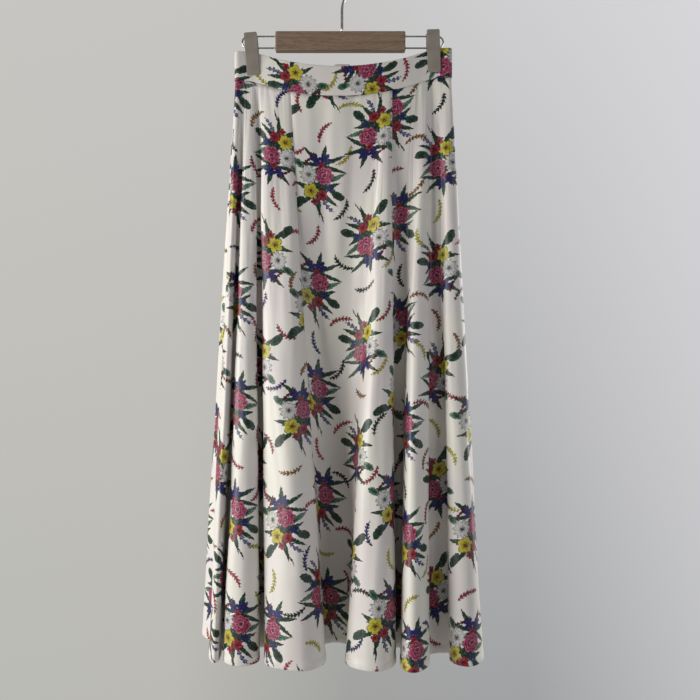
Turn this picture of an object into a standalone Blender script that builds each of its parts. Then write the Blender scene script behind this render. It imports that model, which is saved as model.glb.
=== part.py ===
"""A midi skirt of printed satin, hung by its waistband from a clip hanger.

The origin is where the hook rests on its rail. +X is to the viewer's right, +Y is behind the
skirt and +Z is up. Lengths are in millimetres until a mesh is made.

The cloth is one closed ring of lines that fan out from the waist seam to the hem. Each line is
the crest, side, floor or valley of a fold. A smooth closed curve through the lines gives the
ring at the waist and at the hem. Seen from the front, straight lines join the two, as the folds
of a hanging flared skirt do, and they stand out a little later near the waist. Five panels and
three waistband pieces are cut from that one ring.
"""

import math

import bmesh
import bpy
import numpy as np
from mathutils import Matrix, Vector

MM = 0.001

# ---------------------------------------------------------------- driving sizes, in millimetres
HEM_Z = -991.0
BAND_TOP_Z = -121.8
BAND_HEIGHT = 42.5
BAND_TILT = 0.0156
FRONT_SAG = 27.5
BACK_SAG = 18.7

CLOTH_THICKNESS = 1.2
BAND_THICKNESS = 2.0
SEAM_GAP = 0.4
FOLD_EASE = 0.35
COLUMN_WIDTH = 8.0
EDGE_COLUMN_WIDTH = 4.0
BAND_COLUMN_WIDTH = 4.5
BAND_EDGE_COLUMN_WIDTH = 0.6
PANEL_ROWS = 6
BAND_ROWS = 2

BAR_SIZE = (188.0, 12.0, 28.4)
BAR_X = -2.3
BAR_TOP_Z = -95.6
BAR_ROUNDING = 2.0

RAIL_DIAMETER = 2.4
RAIL_Z = (-101.6, -118.5)
RAIL_ENDS_X = (-145.7, 147.9)

HOOK_DIAMETER = 4.2
HOOK_INNER_RADIUS = 20.0
HOOK_SHANK_TOP_Z = -66.0
HOOK_BOW_ANGLES = (-58.0, 196.0)

CLIP_SIZE = (18.7, 1.4, 61.2)
CLIP_ROUNDING = 0.5
CLIP_JAW_OUT = 3.6
CLIP_OPENING_ANGLE = math.radians(2.4)
CLIP_SPRING_RADII = (1.6, 5.5)
CLIP_SPRING_LENGTH = 11.0

ZIP_SLIDER_SIZE = (5.2, 1.8, 9.0)
ZIP_SLIDER_ROUNDING = 0.4
ZIP_SLIDER_DROP = 1.0
ZIP_BRIDGE_DIAMETER = 1.0
ZIP_BRIDGE_REACH = 2.8
ZIP_BRIDGE_LENGTH = 6.0
ZIP_BRIDGE_CORNER = 0.9
ZIP_PULL_THICKNESS = 1.0
ZIP_PULL_LENGTH = 21.0
ZIP_PULL_RADII = (2.3, 3.4)
ZIP_PULL_SLOT_LENGTH = 6.0
ZIP_PULL_AXIS_OUT = 1.15
FIT_GAP = 0.35

# The two clips, seen from the front. Lean is how far the foot swings to the right.
CLIPS = (
    # name,        x,     middle_z, lean_degrees
    ("left_clip", -129.9, -128.6, 4.4),
    ("right_clip", 132.4, -124.4, 1.9),
)

# The waist seam seen from above, as x and how far in front of the hanger's plane it lies: flat
# between each clip's jaws, bowed out between the clips, and rounded at both sides.
WAIST_FRONT = (
    (-155.2, 0.0), (-153.2, 2.9), (-147.5, 3.3), (-139.5, 2.2), (-120.5, 2.3), (-98.0, 5.6),
    (-72.0, 9.0), (-38.0, 11.9), (2.0, 12.9), (42.0, 11.9), (76.0, 9.0), (102.0, 5.6),
    (123.5, 2.3), (142.0, 2.2), (151.0, 3.3), (157.2, 2.9),
)
WAIST_BACK = (
    (159.3, 0.0), (157.2, -2.9), (151.0, -3.3), (142.0, -2.2), (123.5, -2.3), (99.0, -4.8),
    (70.0, -7.4), (36.0, -9.2), (0.0, -9.8), (-34.0, -9.2), (-67.0, -7.4), (-96.0, -4.8),
    (-120.5, -2.3), (-139.5, -2.2), (-147.5, -3.3), (-153.2, -2.9),
)

# One row for each line down the front, from the left side seam to the right one. A line leaves
# the waist seam at waist_x and reaches the hem at hem_x, hem_out.
FRONT_LINES = (
    # name,               waist_x,  hem_x, hem_out
    ("side_left",           -155.2, -197.0, -34.0),
    ("fold_1_left",         -153.5, -190.6,  14.0),
    ("fold_1_crest",        -149.5, -177.0,  45.0),
    ("fold_1_right",        -145.8, -172.0,  22.0),
    ("valley_1_left",       -143.2, -168.0,  -4.0),
    ("valley_1_right",      -141.2, -162.5,  -5.0),
    ("fold_2_left",         -138.5, -166.3,  30.0),
    ("fold_2_crest",        -133.0, -138.5,  56.0),
    ("fold_2_right",        -127.0, -116.5,  32.0),
    ("valley_2_left",       -123.7, -119.5, -10.0),
    ("valley_2_right",      -121.3, -114.5, -11.0),
    ("fold_3_left",         -117.0, -108.3,  36.0),
    ("fold_3_crest_left",   -105.0,  -83.9,  65.0),
    ("fold_3_crest_right",   -90.0,  -42.7,  69.0),
    ("fold_3_right",         -79.0,  -23.3,  42.0),
    ("seam_left",            -74.0,  -24.5,  16.0),
    ("floor_3_left",         -36.0,  -25.0, -22.0),
    ("floor_3_middle",       -12.0,   -9.5, -29.0),
    ("floor_3_right",         14.0,    6.5, -22.0),
    ("fold_4_left",           60.0,    6.0,  42.0),
    ("fold_4_crest_left",     63.0,   27.9,  70.0),
    ("fold_4_crest_right",    66.5,   52.2,  72.0),
    ("fold_4_right",          70.0,   74.1,  46.0),
    ("seam_right",            72.5,   74.0,  22.0),
    ("valley_4_left",         82.5,   74.8,  -8.0),
    ("valley_4_right",        86.5,   80.4,  -9.0),
    ("fold_5_left",          105.0,   79.8,  44.0),
    ("fold_5_crest",         115.0,   96.5,  77.0),
    ("fold_5_right",         124.5,  121.3,  46.0),
    ("floor_5_left",         130.0,  127.6,  14.0),
    ("floor_5_right",        138.0,  153.6,  12.0),
    ("fold_6_left",          144.5,  152.1,  34.0),
    ("fold_6_crest",         151.0,  172.4,  57.0),
    ("fold_6_right",         157.0,  200.7,  24.0),
)

# The same for the back, from the right side seam round to the left one.
BACK_LINES = (
    # name,               waist_x,  hem_x, hem_out
    ("side_right",           159.3,  199.0, -20.0),
    ("back_1_bulge",         157.0,  207.0, -50.0),
    ("back_1_crest",         152.0,  189.0, -76.0),
    ("back_1_valley",        143.0,  170.0, -40.0),
    ("back_2_crest_right",   131.0,  152.0, -84.0),
    ("back_2_crest_left",    122.0,  130.0, -88.0),
    ("back_2_valley",        110.0,  112.0, -46.0),
    ("back_3_crest",          92.0,   88.0, -80.0),
    ("back_3_valley",         70.0,   66.0, -36.0),
    ("back_4_crest_right",    46.0,   44.0, -88.0),
    ("back_4_crest_left",     34.0,   27.0, -87.0),
    ("back_4_valley_right",   20.0,   17.0, -48.0),
    ("back_4_valley_left",    16.0,   10.0, -48.0),
    ("back_5_right",           8.0,    3.0, -74.0),
    ("seam_centre",            0.0,   -9.0, -84.0),
    ("back_5_left",           -8.0,  -22.0, -75.0),
    ("back_5_valley",        -26.0,  -40.0, -54.0),
    ("back_6_crest",         -50.0,  -62.0, -91.0),
    ("back_6_valley",        -74.0,  -86.0, -60.0),
    ("back_7_crest_right",   -94.0, -104.0, -84.0),
    ("back_7_crest_left",   -104.0, -122.0, -80.0),
    ("back_7_valley",       -118.0, -139.0, -54.0),
    ("back_8_crest",        -134.0, -166.0, -91.0),
    ("back_8_valley",       -144.0, -184.0, -66.0),
    ("back_9_crest",        -150.0, -201.0, -91.0),
    ("back_9_bulge",        -153.5, -215.0, -72.0),
)

# Base colour, roughness and metallic value of each finish.
FINISHES = {
    "printed_satin": ((0.80, 0.77, 0.72), 0.42, 0.0),
    "bar_wood": ((0.17, 0.11, 0.075), 0.55, 0.0),
    "clip_enamel": ((0.20, 0.185, 0.165), 0.4, 0.0),
    "bright_steel": ((0.62, 0.61, 0.60), 0.25, 1.0),
    "zip_enamel": ((0.75, 0.71, 0.64), 0.35, 0.0),
}


# ---------------------------------------------------------------- scene helpers
def clear_scene():
    for thing in list(bpy.data.objects):
        bpy.data.objects.remove(thing, do_unlink=True)


def finish(name):
    found = bpy.data.materials.get(name)
    if found:
        return found
    colour, roughness, metallic = FINISHES[name]
    made = bpy.data.materials.new(name)
    made.use_nodes = True
    shader = made.node_tree.nodes["Principled BSDF"]
    shader.inputs["Base Color"].default_value = (*colour, 1.0)
    shader.inputs["Roughness"].default_value = roughness
    shader.inputs["Metallic"].default_value = metallic
    return made


def add_object(name, data, finish_name, collection):
    made = bpy.data.objects.new(name, data)
    data.materials.append(finish(finish_name))
    collection.objects.link(made)
    return made


# ---------------------------------------------------------------- the ring of lines
def closed_spline(knots, points):
    """The smooth closed curve through the points, as a function of the distance along the knots."""
    steps = np.diff(knots)
    count = len(points)
    matrix = np.zeros((count, count))
    slopes = np.zeros_like(points)
    for i in range(count):
        before, after = (i - 1) % count, (i + 1) % count
        matrix[i, before] += steps[before]
        matrix[i, i] += 2 * (steps[before] + steps[i])
        matrix[i, after] += steps[i]
        slope_after = (points[after] - points[i]) / steps[i]
        slope_before = (points[i] - points[before]) / steps[before]
        slopes[i] = 6 * (slope_after - slope_before)
    bend = np.linalg.solve(matrix, slopes)

    def curve(places):
        places = np.asarray(places, float) % knots[-1]
        i = np.clip(np.searchsorted(knots, places, side="right") - 1, 0, count - 1)
        j = (i + 1) % count
        step = steps[i][:, None]
        past = (places - knots[i])[:, None]
        left = step - past
        return (
            bend[i] * left**3 / (6 * step)
            + bend[j] * past**3 / (6 * step)
            + (points[i] / step - bend[i] * step / 6) * left
            + (points[j] / step - bend[j] * step / 6) * past
        )

    return curve


def chord_knots(points):
    """The distance round a closed chain of points, at each one and at the first again."""
    sides = np.linalg.norm(np.roll(points, -1, axis=0) - points, axis=1)
    return np.concatenate([[0.0], np.cumsum(sides)])


def rising_curve(xs, ys):
    """A smooth function through rising pairs that never falls, with equal slopes at both ends."""
    rise = np.diff(ys) / np.diff(xs)
    before = np.concatenate([rise[-1:], rise])
    after = np.concatenate([rise, rise[:1]])
    slopes = 2 * before * after / (before + after)

    def curve(places):
        i = np.clip(np.searchsorted(xs, places, side="right") - 1, 0, len(rise) - 1)
        step = xs[i + 1] - xs[i]
        t = (places - xs[i]) / step
        return (
            ys[i] * (1 + 2 * t) * (1 - t) ** 2
            + ys[i + 1] * (3 - 2 * t) * t**2
            + step * (slopes[i] * t * (1 - t) ** 2 - slopes[i + 1] * (1 - t) * t**2)
        )

    return curve


def even_places(curve, start, end, width, edge_width):
    """Places between two on a curve, evenly spaced along it, with a narrow step at each end."""
    fine = np.linspace(start, end, 1000)
    lengths = np.linalg.norm(np.diff(curve(fine), axis=0), axis=1)
    along = np.concatenate([[0.0], np.cumsum(lengths)])
    inside = np.linspace(edge_width, along[-1] - edge_width, round(along[-1] / width))
    return np.interp([0.0, *inside, along[-1]], along, fine)


def waist_height(x, sag):
    """Height of the waist seam: it dips between the two clips and is straight outside them."""
    left, right = CLIPS[0][1], CLIPS[1][1]
    across = (2 * x - left - right) / (right - left)
    return BAND_TOP_Z - BAND_HEIGHT + BAND_TILT * x - sag * max(0.0, 1 - across**2)


class Ring:
    """The waist seam and the hem as closed curves, and the lines that join them."""

    def __init__(self):
        waist = [
            (x, -out, waist_height(x, sag))
            for rows, sag in ((WAIST_FRONT, FRONT_SAG), (WAIST_BACK, BACK_SAG))
            for x, out in rows
        ]
        waist_knots = chord_knots(np.array(waist))
        self.waist_seam = closed_spline(waist_knots, np.array(waist))
        hem = np.array([(x, -out, HEM_Z) for _, _, x, out in FRONT_LINES + BACK_LINES])
        knots = chord_knots(hem)
        self.hem = closed_spline(knots, hem)

        right_side = waist_knots[len(WAIST_FRONT)]
        front = np.linspace(0, right_side, 2000)
        back = np.linspace(right_side, waist_knots[-1], 2000)
        front_x, back_x = self.waist_seam(front)[:, 0], self.waist_seam(back)[:, 0]
        joins = [np.interp(row[1], front_x, front) for row in FRONT_LINES]
        joins += [np.interp(-row[1], -back_x, back) for row in BACK_LINES]
        joins[0] = 0.0
        names = [row[0] for row in FRONT_LINES + BACK_LINES] + ["end"]
        self.hem_place = dict(zip(names, knots))
        self.waist_place = dict(zip(names, [*joins, waist_knots[-1]]))
        self.seam_place = rising_curve(knots, np.array([*joins, waist_knots[-1]]))

    def waist(self, places):
        """The waist seam's points at the head of the lines that reach the hem at these places."""
        return self.waist_seam(self.seam_place(np.asarray(places)))


def draw_in_sides(points):
    """Moves both side edges in by half the seam gap."""
    trimmed = points.copy()
    for edge, inner in ((0, 1), (-1, -2)):
        inward = points[:, inner] - points[:, edge]
        length = np.linalg.norm(inward, axis=1, keepdims=True)
        trimmed[:, edge] += inward / length * SEAM_GAP / 2
    return trimmed


# ---------------------------------------------------------------- the cloth
def cloth_piece(name, points, thickness, collection):
    """A sheet through a grid of points, top row first, thickened to both sides."""
    rows, columns = points.shape[0] - 1, points.shape[1] - 1
    sheet = bmesh.new()
    bmesh.ops.create_grid(sheet, x_segments=columns, y_segments=rows, size=1.0)
    for vertex in sheet.verts:
        column = round((vertex.co.x + 1) / 2 * columns)
        row = round((1 - vertex.co.y) / 2 * rows)
        vertex.co = Vector(points[row, column]) * MM
    mesh = bpy.data.meshes.new(name)
    sheet.to_mesh(mesh)
    sheet.free()
    mesh.shade_smooth()
    made = add_object(name, mesh, "printed_satin", collection)
    wall = made.modifiers.new("cloth", "SOLIDIFY")
    wall.thickness = thickness * MM
    wall.offset = 0.0
    return made


def skirt_panel(name, ring, first, last, collection):
    """One panel between two lines of the ring, from just under the waist seam to the hem."""
    start, end = ring.hem_place[first], ring.hem_place[last]
    columns = even_places(ring.hem, start, end, COLUMN_WIDTH, EDGE_COLUMN_WIDTH)
    top = ring.waist(columns) - np.array([0, 0, SEAM_GAP])
    hem = ring.hem(columns)
    rows = []
    for down in np.linspace(0, 1, PANEL_ROWS + 1):
        depth = down * (1 - FOLD_EASE + FOLD_EASE * down)
        rows.append(top + (hem - top) * np.array([down, depth, down]))
    return cloth_piece(name, draw_in_sides(np.array(rows)), CLOTH_THICKNESS, collection)


def waistband(name, ring, first, last, collection):
    """One waistband piece, standing on the waist seam between two lines of the ring."""
    start, end = ring.waist_place[first], ring.waist_place[last]
    columns = even_places(ring.waist_seam, start, end, BAND_COLUMN_WIDTH, BAND_EDGE_COLUMN_WIDTH)
    seam = ring.waist_seam(columns)
    rows = [seam + np.array([0, 0, up]) for up in np.linspace(BAND_HEIGHT, 0, BAND_ROWS + 1)]
    return cloth_piece(name, draw_in_sides(np.array(rows)), BAND_THICKNESS, collection)


def build_skirt(ring, collection):
    skirt_panel("front_left_panel", ring, "side_left", "seam_left", collection)
    skirt_panel("front_centre_panel", ring, "seam_left", "seam_right", collection)
    skirt_panel("front_right_panel", ring, "seam_right", "side_right", collection)
    skirt_panel("back_right_panel", ring, "side_right", "seam_centre", collection)
    skirt_panel("back_left_panel", ring, "seam_centre", "end", collection)
    waistband("front_waistband", ring, "side_left", "side_right", collection)
    waistband("back_right_waistband", ring, "side_right", "seam_centre", collection)
    waistband("back_left_waistband", ring, "seam_centre", "end", collection)


# ---------------------------------------------------------------- hard pieces
def rounded_box(name, size, rounding, finish_name, collection):
    """A box centred on its own origin, with rounded edges."""
    box = bmesh.new()
    bmesh.ops.create_cube(box, size=1.0, matrix=Matrix.Diagonal((*(Vector(size) * MM), 1.0)))
    mesh = bpy.data.meshes.new(name)
    box.to_mesh(mesh)
    box.free()
    made = add_object(name, mesh, finish_name, collection)
    edges = made.modifiers.new("edges", "BEVEL")
    edges.width = rounding * MM
    edges.segments = 2
    return made


def wire(name, points, diameter, finish_name, collection):
    """A round wire through the points, with closed ends."""
    curve = bpy.data.curves.new(name, "CURVE")
    curve.dimensions = "3D"
    curve.bevel_depth = diameter / 2 * MM
    curve.bevel_resolution = 2
    curve.use_fill_caps = True
    run = curve.splines.new("POLY")
    run.points.add(len(points) - 1)
    for point, place in zip(run.points, points):
        point.co = (*(Vector(place) * MM), 1.0)
    return add_object(name, curve, finish_name, collection)


def arc(centre, radius, start, end, count):
    """Points along an arc in the X-Z plane, with angles in degrees from +X towards +Z."""
    return [
        (centre[0] + radius * math.cos(angle), 0.0, centre[1] + radius * math.sin(angle))
        for angle in np.radians(np.linspace(start, end, count))
    ]


def hanger_bar(collection):
    bar = rounded_box("hanger_bar", BAR_SIZE, BAR_ROUNDING, "bar_wood", collection)
    bar.location = Vector((BAR_X, 0, BAR_TOP_Z - BAR_SIZE[2] / 2)) * MM


def hanger_hook(collection):
    """The shank leaves the bar upright, swings to the right and over the top of the rail."""
    radius = HOOK_INNER_RADIUS + HOOK_DIAMETER / 2
    bow = arc((0.0, -HOOK_INNER_RADIUS), radius, *HOOK_BOW_ANGLES, 24)
    foot = Vector((0.0, 0.0, BAR_TOP_Z + FIT_GAP))
    shank_top = Vector((0.0, 0.0, HOOK_SHANK_TOP_Z))
    bow_start = Vector(bow[0])
    reach = (bow_start - shank_top).length
    way_in = (Vector(bow[1]) - bow_start).normalized() * reach
    way_out = Vector((0, 0, reach))
    swing = []
    for t in np.linspace(0, 1, 7)[:-1]:
        swing.append(
            shank_top * (2 * t**3 - 3 * t**2 + 1)
            + way_out * (t**3 - 2 * t**2 + t)
            + bow_start * (3 * t**2 - 2 * t**3)
            + way_in * (t**3 - t**2)
        )
    wire("hanger_hook", [foot, *swing, *bow], HOOK_DIAMETER, "bright_steel", collection)


def hanger_rails(collection):
    """Each rail is one wire: out of the bar, round a bend past the clip, and back."""
    upper, lower = RAIL_Z
    bend = (upper - lower) / 2
    for name, side, end_x in (("left_rail", -1, RAIL_ENDS_X[0]), ("right_rail", 1, RAIL_ENDS_X[1])):
        bar_face = BAR_X + side * (BAR_SIZE[0] / 2 + FIT_GAP)
        bend_x = end_x - side * (bend + RAIL_DIAMETER / 2)
        half_turn = [
            (bend_x + side * (x - bend_x), y, z)
            for x, y, z in arc((bend_x, (upper + lower) / 2), bend, 90.0, -90.0, 9)
        ]
        points = [(bar_face, 0, upper), *half_turn, (bar_face, 0, lower)]
        wire(name, points, RAIL_DIAMETER, "bright_steel", collection)


def clip(name, x, middle_z, lean_degrees, collection):
    """Two flat plates that close on the waistband at the foot, with a spring on the upper rail."""
    lean = Matrix.Rotation(-math.radians(lean_degrees), 4, "Y")
    middle = Vector((x, 0, middle_z))
    half_length = CLIP_SIZE[2] / 2
    out = CLIP_JAW_OUT + CLIP_SIZE[1] / 2 + half_length * math.sin(CLIP_OPENING_ANGLE)
    for end, side in (("front", -1), ("back", 1)):
        plate = rounded_box(f"{name}_{end}", CLIP_SIZE, CLIP_ROUNDING, "clip_enamel", collection)
        tip = Matrix.Rotation(-side * CLIP_OPENING_ANGLE, 4, "X")
        place = Matrix.Translation((middle + Vector((0, side * out, 0))) * MM)
        plate.matrix_world = place @ lean @ tip
    spring_x = x - (RAIL_Z[0] - middle_z) * math.tan(math.radians(lean_degrees))
    clip_spring(f"{name}_spring", spring_x, collection)


def clip_spring(name, x, collection):
    """The rolled spring between a clip's plates: a thick ring round the upper rail."""
    inner, outer = CLIP_SPRING_RADII
    half = CLIP_SPRING_LENGTH / 2
    profile = bmesh.new()
    corners = ((outer, half), (outer, -half), (inner, -half), (inner, half))
    verts = [profile.verts.new(Vector((radius, 0, along)) * MM) for radius, along in corners]
    for i in range(len(verts)):
        profile.edges.new((verts[i], verts[(i + 1) % len(verts)]))
    mesh = bpy.data.meshes.new(name)
    profile.to_mesh(mesh)
    profile.free()
    made = add_object(name, mesh, "bright_steel", collection)
    turn = made.modifiers.new("turn", "SCREW")
    turn.steps = turn.render_steps = 20
    turn.use_merge_vertices = True
    turn.merge_threshold = 0.00001
    made.rotation_euler = (0, math.radians(90), 0)
    made.location = Vector((x, 0, RAIL_Z[0])) * MM


def build_hanger(collection):
    hanger_bar(collection)
    hanger_hook(collection)
    hanger_rails(collection)
    for name, x, middle_z, lean_degrees in CLIPS:
        clip(name, x, middle_z, lean_degrees, collection)


# ---------------------------------------------------------------- the zip at the centre back
def outline(curve, points):
    """Adds a closed outline of straight runs to a flat curve."""
    run = curve.splines.new("POLY")
    run.points.add(len(points) - 1)
    for point, (x, y) in zip(run.points, points):
        point.co = (x * MM, y * MM, 0.0, 1.0)
    run.use_cyclic_u = True


def round_ended(top_radius, foot_radius, foot_y, top_y):
    """The outline round two circles, one above the other, from the upper one's right side."""
    points = []
    for centre_y, radius, start in ((top_y, top_radius, 0.0), (foot_y, foot_radius, math.pi)):
        for angle in np.linspace(start, start + math.pi, 8):
            points.append((radius * math.cos(angle), centre_y + radius * math.sin(angle)))
    return points


def zip_pull(axis, collection):
    """A flat drop-shaped tab. Its slot hangs on the slider's bridge, and its origin is the hinge."""
    curve = bpy.data.curves.new("zip_pull", "CURVE")
    curve.dimensions = "2D"
    curve.fill_mode = "BOTH"
    curve.extrude = ZIP_PULL_THICKNESS / 2 * MM
    top_radius, foot_radius = ZIP_PULL_RADII
    slot_radius = top_radius - ZIP_PULL_THICKNESS
    eye_y = ZIP_PULL_THICKNESS / 2 - top_radius
    foot_y = ZIP_PULL_THICKNESS / 2 - ZIP_PULL_LENGTH + foot_radius
    slot_foot_y = slot_radius - ZIP_PULL_THICKNESS / 2 - ZIP_PULL_SLOT_LENGTH
    outline(curve, round_ended(top_radius, foot_radius, foot_y, eye_y))
    outline(curve, round_ended(slot_radius, slot_radius, slot_foot_y, eye_y))
    pull = add_object("zip_pull", curve, "zip_enamel", collection)
    pull.rotation_euler = (math.radians(90), 0, 0)
    pull.location = axis * MM


def zip_bridge(x, face, top, collection):
    """The bridge that carries the tab: a wire staple that stands out from the slider's face."""
    foot = top - ZIP_BRIDGE_LENGTH
    reach = face + ZIP_BRIDGE_REACH
    corner = ZIP_BRIDGE_CORNER
    chamfer = corner * (1 - math.sqrt(0.5))
    points = [
        (x, face + FIT_GAP, top),
        (x, reach - corner, top),
        (x, reach - chamfer, top - chamfer),
        (x, reach, top - corner),
        (x, reach, foot + corner),
        (x, reach - chamfer, foot + chamfer),
        (x, reach - corner, foot),
        (x, face + FIT_GAP, foot),
    ]
    wire("zip_bridge", points, ZIP_BRIDGE_DIAMETER, "zip_enamel", collection)


def build_zip(ring, collection):
    """The slider of the concealed zip, closed at the top of the centre back seam, and its tab."""
    seam = Vector(ring.waist_seam([ring.waist_place["seam_centre"]])[0])
    back_face = seam.y + BAND_THICKNESS / 2 + FIT_GAP
    _, depth, length = ZIP_SLIDER_SIZE
    top = seam.z + BAND_HEIGHT - ZIP_SLIDER_DROP
    slider = rounded_box(
        "zip_slider", ZIP_SLIDER_SIZE, ZIP_SLIDER_ROUNDING, "zip_enamel", collection
    )
    slider.location = Vector((seam.x, back_face + depth / 2, top - length / 2)) * MM
    face = back_face + depth
    bridge_top = top - ZIP_BRIDGE_DIAMETER
    zip_bridge(seam.x, face, bridge_top, collection)
    axis_z = bridge_top - ZIP_BRIDGE_DIAMETER / 2 - ZIP_PULL_AXIS_OUT
    zip_pull(Vector((seam.x, face + ZIP_PULL_AXIS_OUT, axis_z)), collection)


def main():
    clear_scene()
    collection = bpy.data.collections.new("midi_skirt_on_clip_hanger")
    bpy.context.scene.collection.children.link(collection)
    ring = Ring()
    build_skirt(ring, collection)
    build_hanger(collection)
    build_zip(ring, collection)


main()
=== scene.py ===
"""The looks of a midi skirt of printed satin, hung by its waistband from a clip hanger.

The skirt and the hanger are put together here in the order in which they are made: the cloth
and its print, the panels, the waistband, the zip, then the hanger that holds them. Sizes are in
millimetres until a mesh is made, in the frame of the solids: +X right, +Y back and +Z up.
"""

import math

import bmesh
import bpy
import numpy as np
from mathutils import Matrix, Vector, noise


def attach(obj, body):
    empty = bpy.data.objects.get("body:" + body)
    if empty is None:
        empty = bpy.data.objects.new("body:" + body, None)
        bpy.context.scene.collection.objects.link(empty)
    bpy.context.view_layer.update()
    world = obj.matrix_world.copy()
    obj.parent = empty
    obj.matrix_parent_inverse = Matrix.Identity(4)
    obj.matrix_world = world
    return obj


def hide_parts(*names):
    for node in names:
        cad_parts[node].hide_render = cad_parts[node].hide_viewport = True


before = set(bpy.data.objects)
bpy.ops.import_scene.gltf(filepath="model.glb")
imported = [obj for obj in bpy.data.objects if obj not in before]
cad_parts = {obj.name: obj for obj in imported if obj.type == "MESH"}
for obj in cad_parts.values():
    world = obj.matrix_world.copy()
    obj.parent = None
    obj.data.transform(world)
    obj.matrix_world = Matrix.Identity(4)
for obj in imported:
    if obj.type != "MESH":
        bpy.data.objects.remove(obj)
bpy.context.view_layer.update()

# ================================================================ camera
# A phone held level, 1.1 m in front of the hanger and just right of its middle, so that the near
# folds hang lower in the picture than the far ones. The picture is square.
CAMERA_PLACE = (0.0116, -1.098, -0.556)
CAMERA_HALF_ANGLE = math.radians(24.8)

camera = bpy.data.objects.new("camera", bpy.data.cameras.new("camera"))
camera.data.angle = 2 * CAMERA_HALF_ANGLE
camera.data.clip_start = 0.01
camera.location = CAMERA_PLACE
camera.rotation_euler = (math.radians(90), 0, 0)
bpy.context.scene.collection.objects.link(camera)
bpy.context.scene.camera = camera

# ================================================================ printed satin
# Viscose satin, 120 g per square metre, printed all over with posies and small arced leaf sprigs.
# Long floats make its face smooth, so the crests of folds carry soft streaks of light. The reverse
# is the same cloth with the print showing through faintly.
POSY_SPACING = 77.0
POSY_TILT = 0.7
POSY_SCALE = 1.26
SPRIG_SPACING = POSY_SPACING / 2
SPRIG_ARC_RADIUS = 25.0
SPRIG_LENGTH = 40.0
SPRIG_LEAF_STEP = 4.8
SPRIG_LEAF_WIDTH = 3.8
SPRIG_LEAF_SLANT = 0.8
STEM_WIDTH = 0.7
BRUSH_WANDER = 1.9
BRUSH_WANDER_LENGTH = 3.3
PAINT_POOL_WIDTH = 2.4
PAINT_DEPTH = (0.8, 2.2)
GROUND_SHADE_WIDTH = 83.0
THREAD_PITCH = 0.5
FLOAT_LENGTH = 2.9
WEFT_LEAN = 0.35
SATIN_GLOSS = (0.4, 0.52)
SATIN_IOR = 1.5
SATIN_SHEEN = 0.15
SATIN_SHEEN_ROUGHNESS = 0.35
PRINT_ON_FACE = 1.0
PRINT_ON_REVERSE = 0.35


def linear(hex_colour, alpha=1.0):
    """An sRGB hex colour as linear red, green, blue and alpha."""
    channels = [int(hex_colour[i : i + 2], 16) / 255 for i in (1, 3, 5)]
    bent = [c / 12.92 if c <= 0.04045 else ((c + 0.055) / 1.055) ** 2.4 for c in channels]
    return (*bent, alpha)


def feed(node, inputs):
    """Sets a node's inputs to values, or links them to outputs or to nodes' first outputs."""
    for socket, value in inputs.items():
        if isinstance(value, bpy.types.Node):
            value = value.outputs[0]
        if isinstance(value, bpy.types.NodeSocket):
            node.id_data.links.new(value, node.inputs[socket])
        else:
            node.inputs[socket].default_value = value


def add_node(tree, kind, inputs=None, stops=None, **settings):
    """Adds a shader node with its settings and links. Stops are the colours of a ramp."""
    node = tree.nodes.new("ShaderNode" + kind)
    for name, value in settings.items():
        setattr(node, name, value)
    feed(node, inputs or {})
    if stops:
        elements = node.color_ramp.elements
        elements.remove(elements[0])
        for i, (position, *colour) in enumerate(stops):
            element = elements[0] if i == 0 else elements.new(position)
            element.position = position
            element.color = linear(*colour)
    return node


def new_material(name):
    """A material with its node tree and its Principled BSDF."""
    material = bpy.data.materials.new(name)
    material.use_nodes = True
    tree = material.node_tree
    return material, tree, tree.nodes["Principled BSDF"]


def laid_over(tree, under, share, stops):
    """Lays colours over what is under them, along a share that runs from 0 to 1."""
    ramp = add_node(tree, "ValToRGB", {"Fac": share}, stops)
    # A colour mix takes its two colours at inputs 6 and 7, and gives its result at output 2.
    inputs = {0: ramp.outputs["Alpha"], 6: under, 7: ramp}
    return add_node(tree, "Mix", inputs, data_type="RGBA").outputs[2]


def from_middle(tree, place, centre, size, turn):
    """The place seen from a motif's middle, in units of its size, and the distance to it."""
    inputs = {
        "Vector": place, "Location": (*centre, 0), "Rotation": (0, 0, turn), "Scale": (*size, 1)
    }
    local = add_node(tree, "Mapping", inputs, vector_type="TEXTURE")
    distance = add_node(tree, "VectorMath", {0: local}, operation="LENGTH")
    return local, distance.outputs["Value"]


def rosette(tree, place, under, centre, size, petals, waist, roundness, turn, stops):
    """Petals or leaves round a centre. Waist is how far out the gaps between them start."""
    local, distance = from_middle(tree, place, centre, size, turn)
    angle = add_node(tree, "TexGradient", {"Vector": local}, gradient_type="RADIAL")
    spokes = add_node(tree, "Math", {0: angle.outputs["Fac"], 1: petals}, operation="MULTIPLY")
    wave = add_node(tree, "Math", {0: spokes, 1: 0.5}, operation="PINGPONG")
    bulge = add_node(tree, "Math", {0: wave, 1: roundness}, operation="POWER")
    reach = (1 - waist) / 0.5**roundness
    edge = add_node(tree, "Math", {0: bulge, 1: reach, 2: waist}, operation="MULTIPLY_ADD")
    share = add_node(tree, "Math", {0: distance, 1: edge}, operation="DIVIDE")
    return laid_over(tree, under, share, stops)


def blob(tree, place, under, centre, size, turn, stops):
    """One oval leaf or bud."""
    distance = from_middle(tree, place, centre, size, turn)[1]
    return laid_over(tree, under, distance, stops)


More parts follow.
